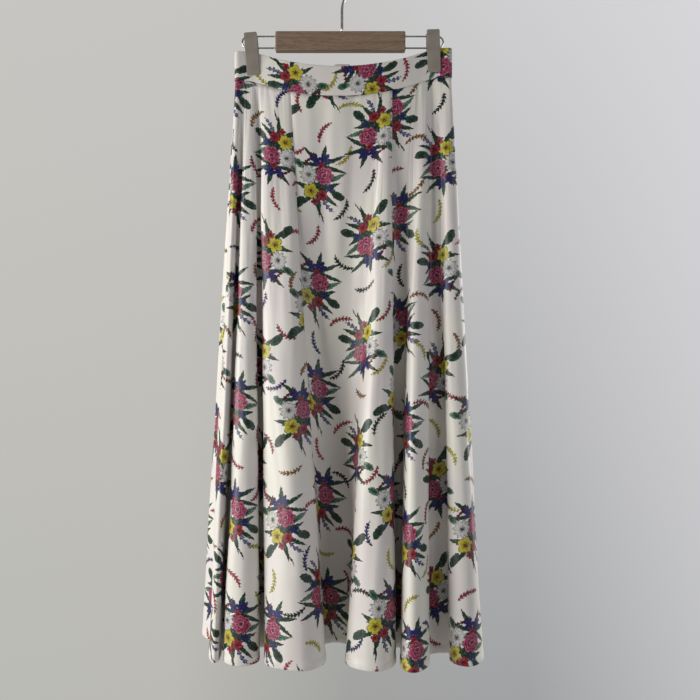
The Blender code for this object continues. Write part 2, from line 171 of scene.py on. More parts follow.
def garland(tree, place, under, centre, radius, turn, length, step, width, slant, stops):
    """A stem along an arc, with leaflets or bells that slant from it in pairs."""
    local, distance = from_middle(tree, place, centre, (1, 1), turn)
    angle = add_node(tree, "TexGradient", {"Vector": local}, gradient_type="RADIAL")
    off = add_node(tree, "Math", {0: distance, 1: radius}, operation="SUBTRACT")
    across = add_node(tree, "Math", {0: off}, operation="ABSOLUTE")
    ring = 2 * math.pi * radius
    inputs = {0: angle.outputs["Fac"], 1: ring, 2: -ring / 2}
    along = add_node(tree, "Math", inputs, operation="MULTIPLY_ADD")
    leant = add_node(tree, "Math", {0: across, 1: slant, 2: along}, operation="MULTIPLY_ADD")
    beads = add_node(tree, "Math", {0: leant, 1: step / 2}, operation="PINGPONG")
    inputs = {0: beads, 1: 2 * width / step, 2: STEM_WIDTH}
    swell = add_node(tree, "Math", inputs, operation="MULTIPLY_ADD")
    from_half = add_node(tree, "Math", {0: along}, operation="ABSOLUTE")
    inputs = {"Value": from_half, "From Min": 0.3 * length, "From Max": 0.5 * length}
    taper = add_node(tree, "MapRange", {**inputs, "To Min": 1.0, "To Max": 0.0001})
    room = add_node(tree, "Math", {0: swell, 1: taper}, operation="MULTIPLY")
    share = add_node(tree, "Math", {0: across, 1: room}, operation="DIVIDE")
    return laid_over(tree, under, share, stops)


def nearest_centre(tree, place, spacing):
    """The place from the nearest centre of a half-drop lattice, its cell and the cell's chance."""
    side = spacing * math.sqrt(2)
    inputs = {"Location": (0.5, 0.5, 0), "Scale": (1 / side, 1 / side, 0)}
    turned = add_node(
        tree, "Mapping", {"Vector": place, "Rotation": (0, 0, -math.pi / 4), **inputs}
    )
    cell = add_node(tree, "VectorMath", {0: turned}, operation="FLOOR")
    rest = add_node(tree, "VectorMath", {0: turned}, operation="FRACTION")
    middle = add_node(tree, "VectorMath", {0: rest, 1: (0.5, 0.5, 0)}, operation="SUBTRACT")
    inputs = {"Vector": middle, "Rotation": (0, 0, math.pi / 4), "Scale": (side, side, 0)}
    local = add_node(tree, "Mapping", inputs)
    chance = add_node(tree, "TexWhiteNoise", {"Vector": cell}, noise_dimensions="2D")
    return local, cell, chance


def inks(*stops):
    """A motif's colours from its middle to its edge, where the last one ends in clear cloth."""
    return (*stops, (0.98, stops[-1][1], 0))


DARK_LEAVES = inks(
    (0.0, "#16352a"), (0.5, "#265543"), (0.8, "#377159"), (0.9, "#0e1814"), (0.95, "#0e1814")
)
TEAL_LEAVES = inks((0.0, "#1b4438"), (0.5, "#437c68"), (0.82, "#86ae9d"), (0.9, "#1f4237"))
GREY_PETALS = inks(
    (0.0, "#6d7664"), (0.14, "#5a6459"), (0.22, "#b9bec2"), (0.5, "#f0eff0"), (0.82, "#dfe2e6"),
    (0.92, "#7f868c"),
)
YELLOW_PETALS = inks(
    (0.0, "#5c2d12"), (0.14, "#94561c"), (0.24, "#b3a12e"), (0.5, "#d8d252"), (0.82, "#e6e272"),
    (0.92, "#8f8d34"),
)
RED_PETALS = inks(
    (0.0, "#2c0914"), (0.2, "#6d1428"), (0.42, "#a62242"), (0.72, "#cb455f"), (0.9, "#74152b")
)
PINK_OUTER = inks(
    (0.0, "#6a1540"), (0.55, "#9c285d"), (0.8, "#c66591"), (0.9, "#dc9ab6"), (0.94, "#822452")
)
PINK_INNER = inks((0.0, "#5c0d33"), (0.5, "#b04074"), (0.85, "#e6b2c7"), (0.94, "#7c204c"))
BLUE_PETALS = inks(
    (0.0, "#b7a45c"), (0.1, "#120e46"), (0.42, "#1f1a80"), (0.74, "#3230a8"), (0.92, "#110e46")
)
VIOLET_BELLS = inks((0.0, "#22266a"), (0.3, "#b9bcdc"), (0.5, "#42489e"), (0.9, "#1f2268"))
MAROON_BUDS = inks((0.0, "#560f26"), (0.9, "#8a1836"))
DARK_BLADE = inks((0.0, "#1e3328"), (0.9, "#121e18"))
SPRIG_SHAPE = ((0.0, "#ffffff"), (0.9, "#ffffff"), (1.0, "#ffffff", 0))
SPRIG_COLOURS = (
    (0.0, "#a8405a"), (0.2, "#a07a3e"), (0.36, "#c3c05c"), (0.56, "#27382f"), (0.72, "#b84a68"),
    (0.86, "#2a2c7c"),
)


def posy(tree, place, cloth):
    """A tall posy: leaves first, then sprays, then the flowers from the back to the front."""
    # Each row is what draws the motif, its middle and size in millimetres and its shape.
    layers = (
        (rosette, ((5, 2), (29, 27), 6, 0.14, 1.5, 0.9, TEAL_LEAVES)),
        (rosette, ((2, 22), (25, 33), 7, 0.14, 1.7, 1.45, DARK_LEAVES)),
        (rosette, ((-1, -7), (29, 33), 7, 0.14, 1.8, 0.35, DARK_LEAVES)),
        (garland, ((34, -4), 30, 3.75, 30, 5.6, 2.6, -0.9, VIOLET_BELLS)),
        (garland, ((-36, 46), 30, -0.75, 26, 4.4, 1.7, 0.8, MAROON_BUDS)),
        (garland, ((-34, -54), 44, 0.55, 30, 60, 0.3, 0.0, DARK_BLADE)),
        (blob, ((-21, -25), (9.5, 5.0), 0.9, DARK_LEAVES)),
        (blob, ((23, -12), (8.5, 4.6), -0.5, DARK_LEAVES)),
        (blob, ((-24, 20), (7.5, 4.0), -0.6, TEAL_LEAVES)),
        (rosette, ((-12, 9), (12, 12), 11, 0.6, 0.7, 0.2, GREY_PETALS)),
        (rosette, ((-5, 27), (8.2, 8.2), 5, 0.35, 0.7, 0.5, BLUE_PETALS)),
        (rosette, ((6, 29), (7.6, 7.6), 5, 0.35, 0.7, 1.1, BLUE_PETALS)),
        (rosette, ((1, 21), (5.2, 5.2), 5, 0.5, 0.6, 0.3, RED_PETALS)),
        (rosette, ((-8, -9), (10.5, 10.5), 5, 0.6, 0.5, 0.1, YELLOW_PETALS)),
        (rosette, ((6, 10), (11.5, 11.5), 7, 0.76, 0.6, 0.0, PINK_OUTER)),
        (rosette, ((5.6, 10.4), (7.4, 7.4), 5, 0.74, 0.6, 0.6, PINK_OUTER)),
        (rosette, ((5.8, 10.6), (4.2, 4.2), 3, 0.72, 0.6, 1.0, PINK_INNER)),
        (rosette, ((5, -12), (7.6, 7.6), 6, 0.62, 0.6, 0.3, RED_PETALS)),
        (rosette, ((-3, -20), (5.2, 5.2), 5, 0.55, 0.6, 0.9, RED_PETALS)),
        (rosette, ((13, -4), (5.6, 5.6), 5, 0.35, 0.7, 0.2, BLUE_PETALS)),
    )
    for draw, details in layers:
        cloth = draw(tree, place, cloth, *details)
    return cloth


def printed_satin(name, strength):
    """Satin with its print at full strength, or faint where it shows through."""
    material, tree, shader = new_material(name)
    metres = add_node(tree, "UVMap", uv_map="cloth")
    flat = add_node(tree, "VectorMath", {0: metres, 3: 1000.0}, operation="SCALE")

    # The brush's edges wander by up to a millimetre.
    inputs = {"Vector": flat, "Scale": 1 / BRUSH_WANDER_LENGTH, "Detail": 3.0, "Roughness": 0.6}
    brush = add_node(tree, "TexNoise", inputs, noise_dimensions="2D").outputs["Color"]
    centred = add_node(tree, "VectorMath", {0: brush, 1: (0.5, 0.5, 0.5)}, operation="SUBTRACT")
    wander = (2 * BRUSH_WANDER, 2 * BRUSH_WANDER, 0)
    inputs = {0: centred, 1: wander, 2: flat}
    drawn = add_node(tree, "VectorMath", inputs, operation="MULTIPLY_ADD")

    # The ivory ground varies a little between cream and blush over a hand's width.
    inputs = {"Vector": flat, "Scale": 1 / GROUND_SHADE_WIDTH, "Detail": 1.0}
    shade = add_node(tree, "TexNoise", inputs, noise_dimensions="2D")
    ivory = ((0.3, "#dcd5d2"), (0.5, "#dedad5"), (0.7, "#dfdcd2"))
    ground = add_node(tree, "ValToRGB", {"Fac": shade}, ivory)

    # Each sprig has its own turn and one of six inks.
    local, _, chance = nearest_centre(tree, drawn, SPRIG_SPACING)
    turn = add_node(tree, "Math", {0: chance, 1: 2 * math.pi}, operation="MULTIPLY")
    inputs = {"Vector": local, "Angle": turn}
    turned = add_node(tree, "VectorRotate", inputs, rotation_type="Z_AXIS")
    pick = add_node(tree, "SeparateColor", {"Color": chance.outputs["Color"]})
    ink = add_node(tree, "ValToRGB", {"Fac": pick.outputs["Green"]}, SPRIG_COLOURS)
    ink.color_ramp.interpolation = "CONSTANT"
    sprig = garland(
        tree, turned, (0, 0, 0, 1), (-SPRIG_ARC_RADIUS, 0), SPRIG_ARC_RADIUS, 0.0,
        SPRIG_LENGTH, SPRIG_LEAF_STEP, SPRIG_LEAF_WIDTH, SPRIG_LEAF_SLANT, SPRIG_SHAPE,
    )
    cloth = add_node(tree, "Mix", {0: sprig, 6: (1, 1, 1, 1), 7: ink}, data_type="RGBA").outputs[2]

    # Posies stand upright and upside down in turn, each with a lean of its own.
    local, cell, chance = nearest_centre(tree, drawn, POSY_SPACING)
    axes = add_node(tree, "SeparateXYZ", {"Vector": cell})
    inputs = {0: axes.outputs["X"], 1: axes.outputs["Y"]}
    column = add_node(tree, "Math", inputs, operation="SUBTRACT")
    odd = add_node(tree, "Math", {0: column, 1: 2.0}, operation="FLOORED_MODULO")
    inputs = {0: odd, 1: math.pi, 2: -POSY_TILT / 2}
    upright = add_node(tree, "Math", inputs, operation="MULTIPLY_ADD")
    inputs = {0: chance, 1: POSY_TILT, 2: upright}
    lean = add_node(tree, "Math", inputs, operation="MULTIPLY_ADD")
    inputs = {"Vector": local, "Angle": lean}
    turned = add_node(tree, "VectorRotate", inputs, rotation_type="Z_AXIS")
    reduced = add_node(tree, "VectorMath", {0: turned, 3: 1 / POSY_SCALE}, operation="SCALE")
    cloth = posy(tree, reduced, cloth)

    # Paint pools in strokes 1 to 4 mm wide, and where it does its colour is deeper.
    inputs = {"Vector": flat, "Scale": 1 / PAINT_POOL_WIDTH, "Detail": 3.0, "Roughness": 0.65}
    pools = add_node(tree, "TexNoise", inputs, noise_dimensions="2D")
    shallow, deep = PAINT_DEPTH
    inputs = {"From Min": 0.35, "From Max": 0.65, "To Min": shallow, "To Max": deep}
    depth = add_node(tree, "MapRange", {"Value": pools, **inputs})
    ink = add_node(tree, "Gamma", {"Color": cloth, "Gamma": depth})
    inputs = {0: strength, 6: ground, 7: ink}
    printed = add_node(tree, "Mix", inputs, data_type="RGBA", blend_type="MULTIPLY").outputs[2]

    # Threads lie 0.12 mm apart, too fine to show, so they are drawn 0.5 mm apart.
    inputs = {"Rotation": (0, 0, WEFT_LEAN), "Scale": (1 / THREAD_PITCH, 1 / FLOAT_LENGTH, 0)}
    threads = add_node(tree, "Mapping", {"Vector": flat, **inputs})
    inputs = {"Vector": threads, "Scale": 1.0, "Detail": 1.0}
    weave = add_node(tree, "TexNoise", inputs, noise_dimensions="2D")
    bump = add_node(tree, "Bump", {"Height": weave, "Strength": 0.12, "Distance": 0.0001})
    smooth, rough = SATIN_GLOSS
    gloss = add_node(tree, "MapRange", {"Value": weave, "To Min": smooth, "To Max": rough})
    feed(shader, {"Base Color": printed, "Roughness": gloss, "Normal": bump, "IOR": SATIN_IOR})
    feed(shader, {"Sheen Weight": SATIN_SHEEN, "Sheen Roughness": SATIN_SHEEN_ROUGHNESS})
    return material


satin_face = printed_satin("printed_viscose_satin_face", PRINT_ON_FACE)
satin_reverse = printed_satin("printed_viscose_satin_reverse", PRINT_ON_REVERSE)

# ================================================================ skirt panels
# Five flared panels, three in front and two behind, cut from the printed satin and sewn side by
# side. They hang from the waist seam in soft folds that widen and deepen towards the level hem.
HEM_Z = -991.0
BAND_TOP_Z = -121.8
BAND_HEIGHT = 42.5
BAND_TILT = 0.0156
FRONT_SAG = 27.5
BACK_SAG = 18.7
CLIP_MIDDLES_X = (-129.9, 132.4)
FOLD_EASE = 0.35
CLOTH_THICKNESS = 0.7
HEM_HEIGHT = 9.0
HEM_ROWS = (0.9, 0.55, 0.2, 0.0)
HEM_THICKNESS = 1.5
PANEL_COLUMN_WIDTH = 3.4
PANEL_ROWS = 112

WAIST_FRONT = (
    (-155.2, 0.0), (-153.2, 2.9), (-147.5, 3.3), (-139.5, 2.2), (-120.5, 2.3), (-98.0, 5.6),
    (-72.0, 9.0), (-38.0, 11.9), (2.0, 12.9), (42.0, 11.9), (76.0, 9.0), (102.0, 5.6),
    (123.5, 2.3), (142.0, 2.2), (151.0, 3.3), (157.2, 2.9),
)
WAIST_BACK = (
    (159.3, 0.0), (157.2, -2.9), (151.0, -3.3), (142.0, -2.2), (123.5, -2.3), (99.0, -4.8),
    (70.0, -7.4), (36.0, -9.2), (0.0, -9.8), (-34.0, -9.2), (-67.0, -7.4), (-96.0, -4.8),
    (-120.5, -2.3), (-139.5, -2.2), (-147.5, -3.3), (-153.2, -2.9),
)
FOLD_LINES = (
    # name,               waist_x,  hem_x, hem_out
    ("side_left",           -155.2, -197.0, -34.0),
    ("fold_1_left",         -153.5, -190.6,  14.0),
    ("fold_1_crest",        -149.5, -177.0,  45.0),
    ("fold_1_right",        -145.8, -172.0,  22.0),
    ("valley_1_left",       -143.2, -168.0,  -4.0),
    ("valley_1_right",      -141.2, -162.5,  -5.0),
    ("fold_2_left",         -138.5, -166.3,  30.0),
    ("fold_2_crest",        -133.0, -138.5,  56.0),
    ("fold_2_right",        -127.0, -116.5,  32.0),
    ("valley_2_left",       -123.7, -119.5, -10.0),
    ("valley_2_right",      -121.3, -114.5, -11.0),
    ("fold_3_left",         -117.0, -108.3,  36.0),
    ("fold_3_crest_left",   -105.0,  -83.9,  65.0),
    ("fold_3_crest_right",   -90.0,  -42.7,  69.0),
    ("fold_3_right",         -79.0,  -23.3,  42.0),
    ("seam_left",            -74.0,  -24.5,  16.0),
    ("floor_3_left",         -36.0,  -25.0, -22.0),
    ("floor_3_middle",       -12.0,   -9.5, -29.0),
    ("floor_3_right",         14.0,    6.5, -22.0),
    ("fold_4_left",           60.0,    6.0,  42.0),
    ("fold_4_crest_left",     63.0,   27.9,  70.0),
    ("fold_4_crest_right",    66.5,   52.2,  72.0),
    ("fold_4_right",          70.0,   74.1,  46.0),
    ("seam_right",            72.5,   74.0,  22.0),
    ("valley_4_left",         82.5,   74.8,  -8.0),
    ("valley_4_right",        86.5,   80.4,  -9.0),
    ("fold_5_left",          105.0,   79.8,  44.0),
    ("fold_5_crest",         115.0,   96.5,  77.0),
    ("fold_5_right",         124.5,  121.3,  46.0),
    ("floor_5_left",         130.0,  127.6,  14.0),
    ("floor_5_right",        138.0,  153.6,  12.0),
    ("fold_6_left",          144.5,  152.1,  34.0),
    ("fold_6_crest",         151.0,  172.4,  57.0),
    ("fold_6_right",         157.0,  200.7,  24.0),
    ("side_right",           159.3,  199.0, -20.0),
    ("back_1_bulge",         157.0,  207.0, -50.0),
    ("back_1_crest",         152.0,  189.0, -76.0),
    ("back_1_valley",        143.0,  170.0, -40.0),
    ("back_2_crest_right",   131.0,  152.0, -84.0),
    ("back_2_crest_left",    122.0,  130.0, -88.0),
    ("back_2_valley",        110.0,  112.0, -46.0),
    ("back_3_crest",          92.0,   88.0, -80.0),
    ("back_3_valley",         70.0,   66.0, -36.0),
    ("back_4_crest_right",    46.0,   44.0, -88.0),
    ("back_4_crest_left",     34.0,   27.0, -87.0),
    ("back_4_valley_right",   20.0,   17.0, -48.0),
    ("back_4_valley_left",    16.0,   10.0, -48.0),
    ("back_5_right",           8.0,    3.0, -74.0),
    ("seam_centre",            0.0,   -9.0, -84.0),
    ("back_5_left",           -8.0,  -22.0, -75.0),
    ("back_5_valley",        -26.0,  -40.0, -54.0),
    ("back_6_crest",         -50.0,  -62.0, -91.0),
    ("back_6_valley",        -74.0,  -86.0, -60.0),
    ("back_7_crest_right",   -94.0, -104.0, -84.0),
    ("back_7_crest_left",   -104.0, -122.0, -80.0),
    ("back_7_valley",       -118.0, -139.0, -54.0),
    ("back_8_crest",        -134.0, -166.0, -91.0),
    ("back_8_valley",       -144.0, -184.0, -66.0),
    ("back_9_crest",        -150.0, -201.0, -91.0),
    ("back_9_bulge",        -153.5, -215.0, -72.0),
)
FRONT_LINE_COUNT = 34
CURVE_SAMPLES = 2000
PANEL_GAP = 0.3


def chord_knots(points):
    """The distance round a closed chain of points, at each one and at the first again."""
    sides = np.linalg.norm(np.roll(points, -1, axis=0) - points, axis=1)
    return np.concatenate([[0.0], np.cumsum(sides)])


def closed_spline(knots, points):
    """The smooth closed curve through points, as a function of the distance along the knots."""
    steps = np.diff(knots)
    count = len(points)
    matrix = np.zeros((count, count))
    slopes = np.zeros_like(points)
    for i in range(count):
        before, after = (i - 1) % count, (i + 1) % count
        matrix[i, before] += steps[before]
        matrix[i, i] += 2 * (steps[before] + steps[i])
        matrix[i, after] += steps[i]
        slope_after = (points[after] - points[i]) / steps[i]
        slope_before = (points[i] - points[before]) / steps[before]
        slopes[i] = 6 * (slope_after - slope_before)
    bend = np.linalg.solve(matrix, slopes)

    def curve(places):
        places = np.asarray(places, float) % knots[-1]
        i = np.clip(np.searchsorted(knots, places, side="right") - 1, 0, count - 1)
        j = (i + 1) % count
        step = steps[i][:, None]
        past = (places - knots[i])[:, None]
        left = step - past
        return (
            bend[i] * left**3 / (6 * step)
            + bend[j] * past**3 / (6 * step)
            + (points[i] / step - bend[i] * step / 6) * left
            + (points[j] / step - bend[j] * step / 6) * past
        )

    return curve


def rising_curve(xs, ys):
    """A smooth function through rising pairs that never falls, with equal slopes at both ends."""
    rise = np.diff(ys) / np.diff(xs)
    before = np.concatenate([rise[-1:], rise])
    after = np.concatenate([rise, rise[:1]])
    slopes = 2 * before * after / (before + after)

    def curve(places):
        i = np.clip(np.searchsorted(xs, places, side="right") - 1, 0, len(rise) - 1)
        step = xs[i + 1] - xs[i]
        t = (places - xs[i]) / step
        return (
            ys[i] * (1 + 2 * t) * (1 - t) ** 2
            + ys[i + 1] * (3 - 2 * t) * t**2
            + step * (slopes[i] * t * (1 - t) ** 2 - slopes[i + 1] * (1 - t) * t**2)
        )

    return curve


def even_places(curve, start, end, width):
    """Places between two on a curve, evenly spaced along it."""
    fine = np.linspace(start, end, CURVE_SAMPLES)
    lengths = np.linalg.norm(np.diff(curve(fine), axis=0), axis=1)
    along = np.concatenate([[0.0], np.cumsum(lengths)])
    return np.interp(np.linspace(0, along[-1], round(along[-1] / width) + 1), along, fine)


def waist_height(x, sag):
    """Height of the waist seam: it dips between the two clips and is straight outside them."""
    left, right = CLIP_MIDDLES_X
    across = (2 * x - left - right) / (right - left)
    return BAND_TOP_Z - BAND_HEIGHT + BAND_TILT * x - sag * max(0.0, 1 - across**2)


waist_points = np.array(
    [
        (x, -out, waist_height(x, sag))
        for rows, sag in ((WAIST_FRONT, FRONT_SAG), (WAIST_BACK, BACK_SAG))
        for x, out in rows
    ]
)
waist_knots = chord_knots(waist_points)
waist_seam = closed_spline(waist_knots, waist_points)
hem_points = np.array([(x, -out, HEM_Z) for _, _, x, out in FOLD_LINES])
hem_knots = chord_knots(hem_points)
hem_curve = closed_spline(hem_knots, hem_points)

side_place = waist_knots[len(WAIST_FRONT)]
front_places = np.linspace(0, side_place, CURVE_SAMPLES)
back_places = np.linspace(side_place, waist_knots[-1], CURVE_SAMPLES)
front_x, back_x = waist_seam(front_places)[:, 0], waist_seam(back_places)[:, 0]
waist_joins = [
    np.interp(row[1], front_x, front_places)
    if i < FRONT_LINE_COUNT
    else np.interp(-row[1], -back_x, back_places)
    for i, row in enumerate(FOLD_LINES)
]
waist_joins[0] = 0.0
line_names = [row[0] for row in FOLD_LINES] + ["end"]
hem_place = dict(zip(line_names, hem_knots))
waist_place = dict(zip(line_names, [*waist_joins, waist_knots[-1]]))
seam_place = rising_curve(hem_knots, np.array([*waist_joins, waist_knots[-1]]))


def hanging_shares(down):
    """Shares of the way from the waist seam to the hem, across, outwards and down."""
    return np.array([down, down * (1 - FOLD_EASE + FOLD_EASE * down), down])


def cloth_normals(points):
    """The outward direction at each point of a grid whose rows run down and columns rightwards."""
    normals = np.cross(np.gradient(points, axis=0), np.gradient(points, axis=1))
    return normals / np.linalg.norm(normals, axis=2, keepdims=True)


def ripple(across, down, waves):
    """Smooth uneven relief over two grids. Waves are its height, width, length and seed."""
    height, wide, long, seed = waves
    flat = zip((across / wide).ravel(), (down / long).ravel())
    relief = np.array([noise.noise((a, b, seed)) for a, b in flat])
    return height * relief.reshape(across.shape)


def near(distance, width):
    """How near a line each point of a grid is: 1 on it, and fading to 0 over a width."""
    return np.exp(-((distance / width) ** 2))


def new_piece(name, mesh, material, stands_for=None):
    """Links a mesh as a piece of the skirt's body, and in the place of its solid if it has one."""
    mesh.materials.append(material)
    made = bpy.data.objects.new(name, mesh)
    bpy.context.scene.collection.objects.link(made)
    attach(made, "skirt_on_hanger")
    if stands_for:
        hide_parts(stands_for)
    return made


def mesh_of(name, points, faces):
    """A smooth-shaded mesh of points in millimetres."""
    mesh = bpy.data.meshes.new(name)
    mesh.from_pydata((points.reshape(-1, 3) / 1000).tolist(), [], faces)
    mesh.shade_smooth()
    return mesh


def grid_mesh(name, points):
    """A sheet through a grid of points whose rows run down."""
    rows, columns = points.shape[:2]
    index = np.arange(rows * columns).reshape(rows, columns)
    faces = np.stack([index[:-1, :-1], index[1:, :-1], index[1:, 1:], index[:-1, 1:]], axis=-1)
    return mesh_of(name, points, faces.reshape(-1, 4).tolist())


def thicken(made, thickness, inner_material=0):
    """Gives a sheet the thickness of its cloth, with its inner side in a material of its own."""
    wall = made.modifiers.new("cloth", "SOLIDIFY")
    wall.thickness = thickness / 1000
    wall.offset = 0.0
    wall.material_offset = inner_material


def satin_piece(name, node, points, flat, thickness, inner_material):
    """A sheet of satin through a grid of points. Flat is where each one was cut from the cloth."""
    mesh = grid_mesh(name, points)
    corners = np.empty(len(mesh.loops), int)
    mesh.loops.foreach_get("vertex_index", corners)
    layer = mesh.uv_layers.new(name="cloth")
    layer.data.foreach_set("uv", (flat.reshape(-1, 2)[corners] / 1000).ravel())
    made = new_piece(name, mesh, satin_face, node)
    mesh.materials.append(satin_reverse)
    thicken(made, thickness, inner_material)
    return made


def along_rows(points):
    """The distance along each row of a grid from its middle column."""
    steps = np.linalg.norm(np.diff(points, axis=1), axis=2)
    along = np.concatenate([np.zeros((len(points), 1)), np.cumsum(steps, axis=1)], axis=1)
    middle = points.shape[1] // 2
    return along - along[:, middle : middle + 1]


def edge_distance(across):
    """How far each point of a grid is from the nearer side seam of its piece."""
    return np.minimum(across - across[:, :1], across[:, -1:] - across)


# Creases laid along the fold lines, with the share of the way down at either end. Height is how
# far the cloth stands out, or sinks where it is negative.
CREASES = (
    # from_line,            down, to_line,             down, width, height
    ("valley_2_left",       0.00, "valley_2_right",    0.62,   5.0, -4.2),
    ("valley_1_left",       0.02, "valley_1_right",    0.40,   4.0, -2.0),
    ("fold_3_right",        -0.2, "fold_3_right",      0.46,   6.0,  3.4),
    ("floor_3_left",        -0.3, "floor_3_left",      0.40,  14.0, -2.6),
    ("fold_4_crest_right",  -0.2, "fold_4_crest_right", 0.42,  5.5,  3.2),
    ("floor_3_right",       -0.3, "floor_3_right",     0.36,  16.0, -2.4),
    ("valley_4_left",       -0.2, "valley_4_right",    0.50,   5.0, -3.4),
    ("floor_5_left",        -0.2, "floor_5_left",      0.46,   5.0, -2.8),
    ("fold_3_crest_left",   0.02, "fold_3_left",       0.34,   9.0,  1.6),
    ("fold_3_crest_right",  0.05, "fold_3_crest_left", 0.52,  11.0, -1.5),
    ("fold_3_right",        0.00, "fold_3_crest_right", 0.30,  8.0,  1.3),
    ("fold_3_crest_left",   0.45, "fold_3_crest_right", 0.97, 13.0,  2.2),
    ("fold_3_left",         0.55, "fold_3_crest_left", 0.99,  10.0, -1.8),
    ("fold_2_crest",        0.06, "fold_2_right",      0.38,   7.0,  1.2),
    ("fold_2_crest",        0.50, "fold_2_left",       0.88,   8.0, -1.4),
    ("fold_1_crest",        0.30, "fold_1_left",       0.80,   7.0,  1.3),
    ("floor_3_left",        0.00, "floor_3_left",      0.42,  12.0,  1.6),
    ("floor_3_middle",      0.03, "floor_3_left",      0.60,  15.0, -1.7),
    ("floor_3_middle",      0.02, "floor_3_middle",    0.33,   7.0,  1.9),
    ("floor_3_right",       0.06, "floor_3_middle",    0.44,   6.0,  1.8),
    ("floor_3_left",        0.16, "floor_3_middle",    0.52,   7.0,  1.6),
    ("floor_3_right",       0.00, "floor_3_middle",    0.48,  13.0,  1.9),
    ("fold_4_left",         0.02, "floor_3_right",     0.36,  10.0, -1.3),
    ("floor_3_middle",      0.52, "floor_3_right",     0.98,  12.0,  1.4),
    ("fold_4_crest_left",   0.30, "fold_4_crest_left", 0.72,   9.0,  1.4),
    ("fold_4_crest_right",  0.48, "fold_4_crest_left", 0.98,  11.0, -1.6),
    ("valley_4_left",       0.00, "fold_4_right",      0.30,   6.0,  1.1),
    ("fold_5_left",         0.00, "valley_4_right",    0.28,   9.0,  1.5),
    ("fold_5_crest",        0.02, "fold_5_left",       0.46,   9.0, -1.4),
    ("fold_5_right",        0.00, "fold_5_crest",      0.34,   7.0,  1.5),
    ("fold_5_crest",        0.50, "fold_5_right",      0.98,  11.0, -1.7),
    ("floor_5_left",        0.04, "floor_5_right",     0.50,   8.0,  1.2),
    ("floor_5_right",       0.40, "floor_5_left",      0.95,   9.0, -1.1),
    ("fold_6_left",         0.03, "fold_6_crest",      0.40,   8.0,  1.3),
    ("fold_6_crest",        0.45, "fold_6_right",      0.95,  10.0, -1.5),
    ("back_1_crest",        0.05, "back_1_bulge",      0.45,  10.0,  1.4),
    ("back_1_bulge",        0.50, "back_1_crest",      0.96,  12.0, -1.6),
    ("back_2_crest_right",  0.02, "back_1_valley",     0.40,   9.0,  1.3),
    ("back_2_crest_left",   0.35, "back_2_crest_right", 0.98, 12.0, -1.8),
    ("back_3_valley",       0.00, "back_3_crest",      0.36,  12.0,  1.7),
    ("back_3_crest",        0.42, "back_3_valley",     0.92,  10.0,  1.4),
    ("back_4_crest_right",  0.00, "back_3_valley",     0.40,  11.0, -1.5),
    ("back_4_crest_left",   0.30, "back_4_crest_right", 0.95, 12.0,  1.8),
    ("back_4_valley_right", 0.04, "back_4_crest_left", 0.44,   9.0,  1.2),
    ("back_5_valley",       0.00, "back_6_crest",      0.42,  12.0,  1.7),
    ("back_5_valley",       0.50, "back_6_crest",      0.97,  11.0, -1.5),
    ("back_6_valley",       0.02, "back_6_crest",      0.50,  12.0, -1.6),
    ("back_7_crest_right",  0.00, "back_6_valley",     0.34,  10.0,  1.5),
    ("back_7_crest_left",   0.38, "back_7_crest_right", 0.96, 12.0,  1.7),
    ("back_7_valley",       0.05, "back_8_crest",      0.48,   9.0,  1.3),
    ("back_8_crest",        0.45, "back_8_valley",     0.95,  11.0, -1.6),
    ("back_9_crest",        0.10, "back_9_bulge",      0.60,   9.0,  1.3),
)
CREASE_TAPER = 0.8
# Smaller relief of the cloth. Each row is the height, width, length and seed of its waves.
SWAY = (2.6, 42.0, 210.0, 3.0)
FINE_WRINKLES = (0.45, 9.0, 70.0, 9.0)
WAIST_PUCKERS = (0.9, 4.6, 60.0, 17.0)
WAIST_GATHERS = (0.54, 9.0, 90.0, 5.0)
SEAM_TUGS = (0.5, 7.0, 1.0, 23.0)
SWAY_AT_WAIST = 0.25
PUCKER_REACH = 45.0
SEAM_DEPTH = 1.1
SEAM_WIDTH = 2.6
SEAM_HOLD = 14.0
TUG_PLACE = 5.0
TUG_WIDTH = 4.0
ZIP_LENGTH = 150.0
ZIP_LIP_HEIGHT = 0.8
ZIP_LIP_PLACE = 3.2
ZIP_LIP_WIDTH = 2.0
ZIP_LIP_END = 6.0
# How long a hem stitch is, how far apart two start, and how thick the thread is drawn: 0.2 mm
# thread is too fine to show.
HEM_STITCH = (1.8, 6.5, 0.5)
# Size of the specks of painted light and shade on the thread.
THREAD_TWIST_SHADE_SPECK = 0.4

panel_length = BAND_TOP_Z - BAND_HEIGHT - HEM_Z
hem_turn = 1 - HEM_HEIGHT * np.array(HEM_ROWS) / panel_length
# Shares of the way down: even rows, with closer ones where the hem is turned up.
downs = np.concatenate([np.linspace(0, 1 - HEM_HEIGHT / panel_length, PANEL_ROWS), hem_turn])


def crease_relief(places, across, drop):
    """The height of the hand-laid creases over a panel's grid."""
    relief = np.zeros_like(across)
    for first, down_1, last, down_2, width, height in CREASES:
        ends = [hem_place[first], hem_place[last]]
        if min(ends) < places[0] - 1 or max(ends) > places[-1] + 1:
            continue
        columns = np.interp(ends, places, np.arange(len(places)))
        rows = np.interp([max(down_1, 0), down_2], downs, np.arange(len(downs)))
        tips = []
        for row, column in zip(rows.astype(int), columns.astype(int)):
            tips.append(np.array([across[row, column], drop[row, column]]))
        # A crease that starts above the panel is still deep where the waist seam holds it.
        tips[0][1] += min(down_1, 0) * drop[-1, 0]
        run = tips[1] - tips[0]
        length = np.linalg.norm(run)
        run = run / length
        from_tip = np.stack([across, drop], axis=-1) - tips[0]
        along = (from_tip @ run) / length
        beside = from_tip @ np.array([-run[1], run[0]])
        swell = np.clip(1 - (2 * along - 1) ** 2, 0, None) ** CREASE_TAPER
        relief += height * swell * near(beside, width)
    return relief


